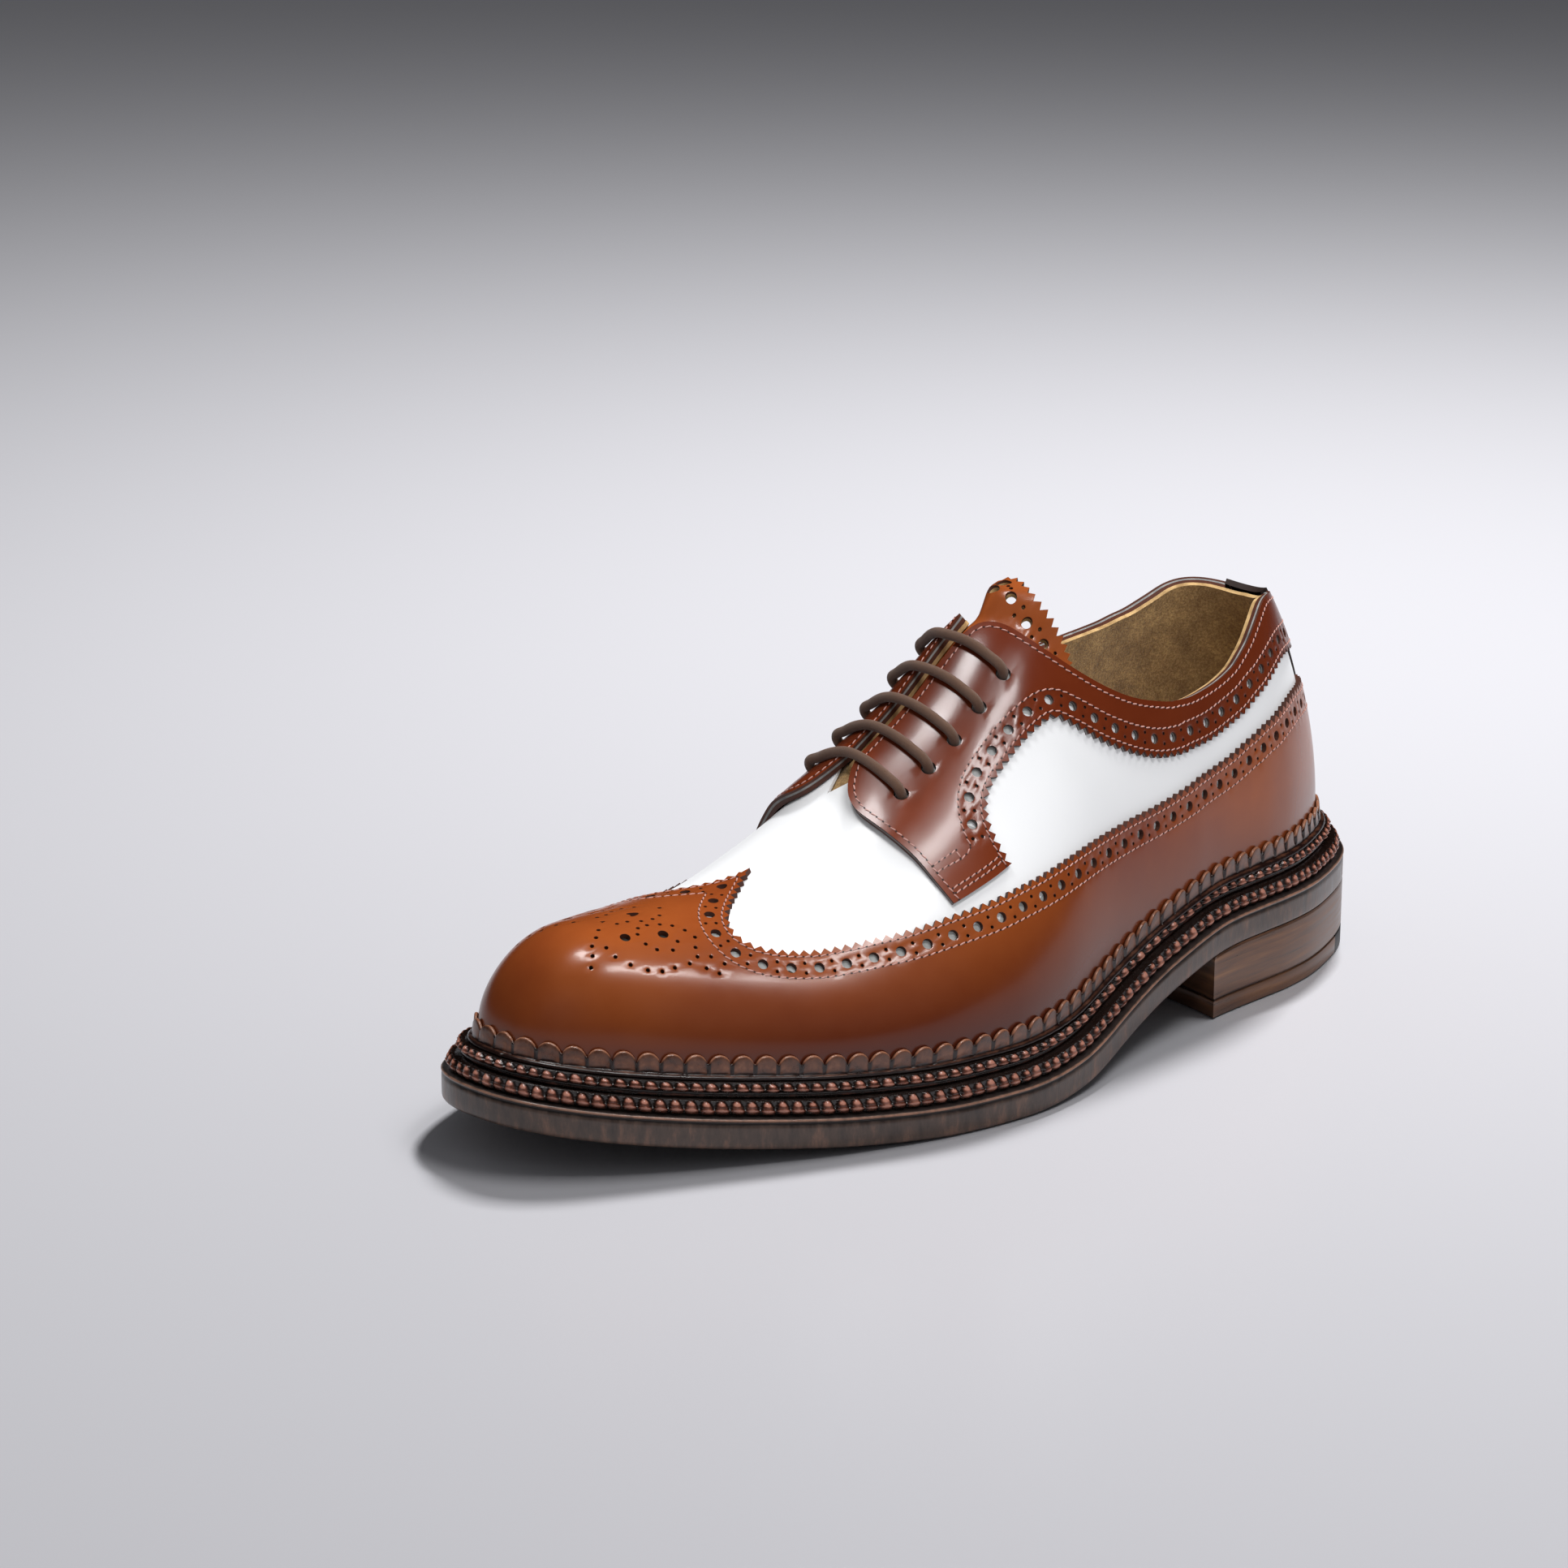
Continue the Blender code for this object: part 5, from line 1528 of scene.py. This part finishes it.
def upper_looks(middle):
    """White where it shows, grey painted shade under the panels' hole rows, dark under the toe's medallion.
    """
    chart = folded(middle)
    edge = smooth_line(WING_EDGE, 120)
    wing = np.vstack([edge, [[0.51, 1.01], [0.51, -0.1], [-0.01, -0.1]]])
    _, low_edge, rim = facing_lines(False)
    facing = np.vstack([low_edge, rim, low_edge[:1]])
    under_wing = inside(chart, wing)
    depth = line_distance(chart, edge)
    looks = np.zeros(len(chart), dtype=int)
    looks[under_wing & (depth > WING_SHADE)] = 1
    looks[inside(chart, facing) & (line_distance(chart, facing) > FACING_SHADE)] = 1
    looks[under_wing & (depth > WING_DARK)] = 2
    return looks


def dress_upper():
    outer = panel("white_upper", joined(upper_region(0.035, 0.05), 2.6), [], (0.0, 0.5), 0.0,
                  [(-0.9 * MM, 0)], [WHITE, SHADE_UNDERLAY, DARK_UNDERLAY], spacing=3.0, rise=vamp_dip,
                  pick=upper_looks)
    inner = panel("suede_lining", joined(upper_region(0.0, 0.0), 2.0), [], (0.0, 0.5), -WALL,
                  [(-1.0 * MM, 1)], [LINING, TAN_LAYER], spacing=3.0, flip=True)
    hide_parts("upper")
    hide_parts("upper")


def dress_wing():
    edge = smooth_line(WING_EDGE, 400)
    around = np.linspace(0.0, 0.5, 120)
    bottom = 0.9 * MM
    low_outer = np.column_stack([around, up_at_height(around, bottom)])
    low_inner = np.column_stack([around, 2.0 - up_at_height(1.0 - around, bottom)])
    zigzag = pinked(edge, PINK_PITCH, PINK_DEPTH)
    back = spaced(np.array([[0.0, edge[0, 1]], [0.0, low_outer[0, 1]]]), 2.2)
    parts = [spaced(line, 2.2)[:-1] for line in (low_outer, *toe_fold(low_outer[-1, 1]), low_inner[::-1])]
    loop = np.vstack(parts + [
        mirrored(back)[::-1][:-1],
        mirrored(zigzag)[:-1],
        zigzag[::-1][:-1],
        back[:-1],
    ])
    rows = brogue_rows(edge, HOLE_LINE, BROGUE_PITCH, BIG_HOLE, SMALL_HOLE, PAIR_SPREAD,
                       lambda line: (line[:, 1] < FOLD_TOP) & (line[:, 0] > 0.004))
    rows.append(((0.3600, 1.0), BIG_HOLE, 16))
    for around_at, up_at, large in MEDALLION:
        radius, sides = (BIG_HOLE, 16) if large else (MEDALLION_HOLE, 8)
        rows.append(((around_at, up_at), radius, sides))
    holes = []
    for hole in rows:
        off_the_middle = hole[0][1] < 0.999
        holes += [hole, other_side(hole)] if off_the_middle else [hole]
    wing = panel("wing_cap_leather", loop, holes, (0.0, 0.5), FACE, [(OVERLAY_GAP - 0.45 * MM, 1)],
                 [BROWN, CUT_EDGE], spacing=2.1)
    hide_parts("wing_cap")
    lines = []
    for distance in (OUTER_STITCH, INNER_STITCH):
        line = trimmed(shifted(edge, distance), lambda line: (line[:, 1] < 1.0) & (line[:, 0] > 0.001))
        lines += [line, mirrored(line)]
    stitches("wing_stitches", lines, FACE)


def facing_lines(inner_side):
    """Where the back strip ends, the facing's lower edge, and its rim from the front to the back."""
    strip = (BACK_STRIP_WIDTH / 2.0 + 0.1 * MM) / BACK_ARC
    collar = smooth_line(COLLAR_EDGE, 120)
    top = smooth_line(TOP_LINE, 160)
    if inner_side:
        collar = lifted(collar)
        top = lifted(top)
    shoulder = smooth_line(FACING_SHOULDER, 30)
    tail = smooth_line(FACING_TAIL, 30)
    edge = rounded(np.vstack([collar[collar[:, 0] > strip], shoulder[1:], tail[1:]]), 5)
    front = smooth_line(FACING_FRONT, 60)
    slot = throat_edge(60)
    top = top[top[:, 0] > strip]
    rim = rounded(np.vstack([front, slot[::-1], top[::-1]]), 14)
    return strip, edge, rim


def rounded(line, passes):
    """The line with its corners rounded off over a few millimetres."""
    line = along_line(line, 0.8 * MM)
    for _ in range(passes):
        line[1:-1] = (line[:-2] + 2.0 * line[1:-1] + line[2:]) / 4.0
    return line


# Stitch lines across the front of the facing's tail, each with its number of points
TAIL_STITCHES = [
    ([[0.2812, 0.517], [0.2835, 0.511], [0.2858, 0.511]], 10),
    ([[0.2858, 0.511], [0.2900, 0.518], [0.2945, 0.524]], 16),
    ([[0.2856, 0.512], [0.2856, 0.537]], 8),
    ([[0.2856, 0.537], [0.2900, 0.541], [0.2945, 0.544]], 16),
]


def dress_facing(name, inner_side):
    strip, edge, rim = facing_lines(inner_side)
    foot = smooth_line(TAIL_FOOT, 20)
    foot[0] = edge[-1]
    zigzag = pinked(edge, PINK_PITCH, -PINK_DEPTH)
    closing = np.array([[strip, rim[-1, 1]], [strip, edge[0, 1]]])
    loop = np.vstack([
        zigzag,
        spaced(foot, 1.5)[1:-1],
        joined([rim, closing], 1.5),
    ])
    loop = loop[np.concatenate([[True], np.linalg.norm(np.diff(loop, axis=0), axis=1) > 1e-6])]
    if np.linalg.norm(loop[0] - loop[-1]) < 1e-6:
        loop = loop[:-1]

    def above_foot(line, low):
        return (line[:, 0] > strip) & ~((line[:, 0] > 0.262) & (line[:, 1] < low))

    def past_strip(line):
        return line[:, 0] > strip

    def on_foot(line):
        return (line[:, 0] > 0.2735) & (line[:, 0] < 0.2925)

    rows = brogue_rows(edge, -HOLE_LINE, BROGUE_PITCH, BIG_HOLE, SMALL_HOLE, PAIR_SPREAD,
                       lambda line: (line[:, 0] > strip + 0.004) & above_foot(line, 0.52))
    holes = [(tuple(centre), EYELET_HOLE, 20) for centre in eyelets()] + rows
    lines = [
        trimmed(shifted(edge, -OUTER_STITCH), past_strip),
        trimmed(shifted(edge, -INNER_STITCH), lambda line: above_foot(line, 0.515)),
        trimmed(shifted(rim, -1.7 * MM), past_strip),
        trimmed(shifted(foot, -2.0 * MM), on_foot),
        trimmed(shifted(foot, -3.4 * MM), on_foot),
    ]
    lines += [smooth_line(points, count) for points, count in TAIL_STITCHES]
    if inner_side:
        loop = mirrored(loop)[::-1]
        holes = [other_side(hole) for hole in holes]
        lines = [mirrored(line) for line in lines]
    made = panel(name + "_leather", loop, holes, (), FACE,
                 [(FACE - 0.75 * MM, 1), (FACE - 1.35 * MM, 2), (-0.35 * MM, 1), (-1.05 * MM, 1)],
                 [BROWN_TOP, CUT_EDGE, GREY_LAYER], spacing=2.0, rise=flap_rise)
    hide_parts(name)
    stitches(name + "_stitches", lines, FACE, rise=flap_rise)


def dress_tongue():
    outer = smooth_line(TONGUE_EDGE, 120)
    level = -WALL - CLEARANCE - 0.1 * MM
    whole = np.vstack([outer[::-1], mirrored(outer)[1:]])
    visible = pinked(whole, PINK_PITCH * 0.9, PINK_DEPTH * 1.05)
    if np.linalg.norm(visible[0] - visible[-1]) < 1e-6:
        visible = visible[:-1]

    def over_facings(line):
        return (line[:, 0] < 0.235) & (line[:, 1] > 0.62) & (line[:, 1] < 1.38)

    rows = brogue_rows(whole, distance=5.6 * MM, pitch=7.6 * MM, big=1.5 * MM, small=0.55 * MM,
                       apart=1.4 * MM, keep=over_facings)
    made = panel("tongue_leather", visible, rows, (), level,
                 [(level - 0.9 * MM, 1), (level - TONGUE_THICKNESS, 2)],
                 [TONGUE_BROWN, CUT_EDGE, TAN_LAYER], spacing=2.0, rise=tongue_rise)
    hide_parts("tongue")
    under = panel("tongue_lining", visible, rows, (), level - TONGUE_THICKNESS, [(level - 1.2 * MM, 0)],
                  [LINING], spacing=3.0, flip=True, rise=tongue_rise)
    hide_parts("tongue")


def dress_back_strip():
    half = BACK_STRIP_WIDTH / 2.0 / BACK_ARC
    low = WING_EDGE[0, 1] - 0.01
    high = TOP_LINE[0, 1] + 0.003
    corners = [[-half, low], [half, low], [half, high], [-half, high], [-half, low]]
    loop = joined([np.array(corners[i:i + 2]) for i in range(4)], 1.4)
    made = panel("back_strip_leather", loop, [], (), FACE + 0.35 * MM, [(-0.3 * MM, 0)], [STRIP], spacing=1.8)
    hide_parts("back_strip")
    rising = np.linspace(low + 0.01, high - 0.01, 20)
    sides = [np.column_stack([np.full(20, side * (half - 0.0022)), rising]) for side in (-1, 1)]
    stitches("back_strip_stitches", sides, FACE + 0.35 * MM)


LACE_SHARE = 0.92                # visible cord's thickness over the solid bar's
YARN = 0.55 * MM                 # length that one unit of the lace's weave takes up


def lace_look():
    """Waxed woven cord: slanted yarns crossing round the bar."""
    look, tree, shader = new_look("woven_lace")
    coords = tree.nodes.new("ShaderNodeTexCoord")
    heights = []
    for angle in (0.9, -0.9):
        turned = tree.nodes.new("ShaderNodeMapping")
        turned.inputs["Rotation"].default_value = (0.0, 0.0, angle)
        tree.links.new(coords.outputs["UV"], turned.inputs["Vector"])
        wave = tree.nodes.new("ShaderNodeTexWave")
        set_inputs(wave, {"Scale": 0.9, "Distortion": 0.6, "Detail": 2.0})
        tree.links.new(turned.outputs["Vector"], wave.inputs["Vector"])
        heights.append(wave.outputs["Fac"])
    join = tree.nodes.new("ShaderNodeMath")
    join.operation = "MAXIMUM"
    tree.links.new(heights[0], join.inputs[0])
    tree.links.new(heights[1], join.inputs[1])
    fibre = noise(tree, 1800.0, 4.0, 0.65, coords.outputs["Object"])
    colour = ramp(tree, join.outputs[0], [(0.25, (0.036, 0.016, 0.009)), (0.9, (0.165, 0.084, 0.050))])
    tree.links.new(mixed(tree, 0.35, colour, fibre, "MULTIPLY"), shader.inputs["Base Color"])
    set_inputs(shader, {"Roughness": 0.72, "Sheen Weight": 0.2, "Sheen Roughness": 0.4})
    bumped(tree, shader, [(join.outputs[0], 0.5, 0.0003), (fibre, 0.4, 0.0002)])
    return look


def lace_path(around, up, radius):
    """Middle line of one lace bar, from inside one eyelet over the gap into the other."""
    lift = FACE + 0.1 * MM + radius
    step = 0.01
    per_up = np.linalg.norm(last_point(around, up + step) - last_point(around, up)) / step
    turn = np.array([0.0, 0.0, 0.15, 0.6, 1.5, 2.6, 4.0]) * radius / per_up
    rise = np.array([-1.9, 0.6, 1.6, 2.3, 2.75, 2.6, 2.35]) * radius + lift - 2.33 * radius
    middle = np.linspace(up + 6.0 * radius / per_up, 2.0 - up - 6.0 * radius / per_up, 8)
    girth = np.concatenate([up + turn, middle, 2.0 - up - turn[::-1]])
    height = np.concatenate([rise, np.full(8, lift), rise[::-1]])
    height[[0, -1]] = -0.9 * WALL
    coarse = offset_point(np.full_like(girth, around), girth, height)
    length = arc_length(coarse)
    table = np.column_stack([length, coarse])
    at = np.linspace(0.0, length[-1], 110)
    path = np.column_stack([table_curve(table, k, at) for k in (1, 2, 3)])
    for _ in range(3):
        path[1:-1] = (path[:-2] + 2.0 * path[1:-1] + path[2:]) / 4.0
    return path, at


def dress_laces():
    look = lace_look()
    radius = LACE_SHARE * LACE_DIAMETER / 2.0
    sides = 20
    angle = 2.0 * np.pi * np.arange(sides)[:, None] / sides
    for number, (around, up) in enumerate(eyelets()):
        path, at = lace_path(around, up, radius)
        along = unit(np.gradient(path, axis=0))
        side = unit(np.cross(along, [1.0, 0.0, 0.0]))
        over = np.cross(along, side)
        rings = [c + radius * (np.cos(angle) * s + np.sin(angle) * o) for c, s, o in zip(path, side, over)]
        faces = strip_faces(len(rings), sides)
        name = "lace_bar_%d" % (number + 1)
        mesh = bpy.data.meshes.new(name + "_cord")
        mesh.from_pydata(np.vstack(rings).tolist(), [], faces)
        mesh.materials.append(look)
        layer = mesh.uv_layers.new(name="UVMap")
        corner = []
        for place in range(len(faces)):
            k, i = divmod(place, sides)
            for dk, di in ((0, 0), (0, 1), (1, 1), (1, 0)):
                corner += [at[k + dk] / YARN, (i + di) / sides * 2.0 * math.pi * radius / YARN]
        layer.data.foreach_set("uv", corner)
        mesh.shade_smooth()
        made = on_root(name + "_cord", mesh)
        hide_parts(name)


def dress_insole():
    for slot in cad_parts["insole"].material_slots:
        slot.material = LINING


# Camera, light and floor

SENSOR = 36.0                    # millimetres, as camera data has them
FOCAL = 2.96                     # focal length over the picture's width
PICTURE = 1932.0                 # pixels
AIM = (0.11613, 0.0, 0.04355)    # point of the shoe that the camera is placed by
AIM_PIXEL = (1165.5, 1090.6)
AIM_DISTANCE = 1.2334


def place_camera():
    right = Vector((-0.70105, 0.71311, 0.00067))
    up = Vector((-0.20804, -0.20542, 0.95630))
    back = Vector((0.68208, 0.67028, 0.29237))
    data = bpy.data.cameras.new("camera")
    data.sensor_width = SENSOR
    data.lens = SENSOR * FOCAL
    data.clip_start = 0.05
    data.clip_end = 60.0
    camera = bpy.data.objects.new("camera", data)
    matrix = Matrix((right, up, back)).transposed().to_4x4()
    per_pixel = AIM_DISTANCE / (FOCAL * PICTURE)
    across, down = (at - PICTURE / 2.0 for at in AIM_PIXEL)
    matrix.translation = (
        Vector(AIM) - right * across * per_pixel + up * down * per_pixel + back * AIM_DISTANCE
    )
    camera.matrix_world = matrix
    bpy.context.scene.collection.objects.link(camera)
    bpy.context.scene.camera = camera


def area_light(name, place, aim, size, power, mirrored_in_gloss=True):
    data = bpy.data.lights.new(name, "AREA")
    data.shape = "RECTANGLE"
    data.size, data.size_y = size
    data.energy = power
    light = bpy.data.objects.new(name, data)
    light.location = place
    way = Vector(aim) - Vector(place)
    light.rotation_euler = way.to_track_quat("-Z", "Y").to_euler()
    light.visible_glossy = mirrored_in_gloss
    bpy.context.scene.collection.objects.link(light)
    return light


def keep_off(lights, floor):
    """Flags the lights off the floor, so that the shadow under the shoe stays deep."""
    receivers = bpy.data.collections.new("flagged_off")
    receivers.objects.link(floor)
    receivers.collection_objects[0].light_linking.link_state = "EXCLUDE"
    for light in lights:
        light.light_linking.receiver_collection = receivers


def light_the_stage():
    world = bpy.data.worlds.new("studio")
    world.use_nodes = True
    background = world.node_tree.nodes["Background"]
    set_inputs(background, {"Color": (0.95, 0.96, 1.0, 1.0), "Strength": 0.13})
    bpy.context.scene.world = world
    world.cycles_visibility.glossy = False
    middle = (0.10, 0.0, 0.04)
    area_light("overhead", (-0.33, 0.27, 1.22), middle, (0.75, 0.36), 5.0, False)
    area_light("back_key", (-0.54, -0.30, 1.12), middle, (0.17, 0.17), 15.5, False)
    fills = [
        area_light("front_fill", (0.35, 1.65, 0.75), middle, (1.1, 0.9), 8.5, False),
        area_light("toe_fill", (1.5, 0.45, 0.55), middle, (0.8, 0.8), 2.5, False),
        area_light("instep_gloss", (0.47, -0.09, 1.22), middle, (0.30, 0.20), 5.5),
        area_light("toe_gloss", (0.30, 0.67, 1.20), middle, (0.60, 0.14), 7.5),
    ]
    mesh = bpy.data.meshes.new("floor")
    mesh.from_pydata([(-9, -9, 0), (9, -9, 0), (9, 9, 0), (-9, 9, 0)], [], [(0, 1, 2, 3)])
    look, _, shader = new_look("pale_floor")
    set_inputs(shader, {
        "Base Color": (0.76, 0.755, 0.795, 1.0),
        "Roughness": 0.32,
        "Specular IOR Level": 0.35,
    })
    mesh.materials.append(look)
    floor = bpy.data.objects.new("floor", mesh)
    floor.location = (0.0, 0.0, -0.0002)
    bpy.context.scene.collection.objects.link(floor)
    keep_off(fills, floor)
    bpy.context.scene.view_settings.view_transform = "Standard"


BACK_ARC = float(np.linalg.norm(last_point(0.02, 0.45) - last_point(0.0, 0.45))) / 0.02

place_camera()
light_the_stage()
dress_sole()
dress_upper()
dress_wing()
dress_facing("facing_outer", False)
dress_facing("facing_inner", True)
dress_tongue()
dress_back_strip()
dress_laces()
dress_insole()
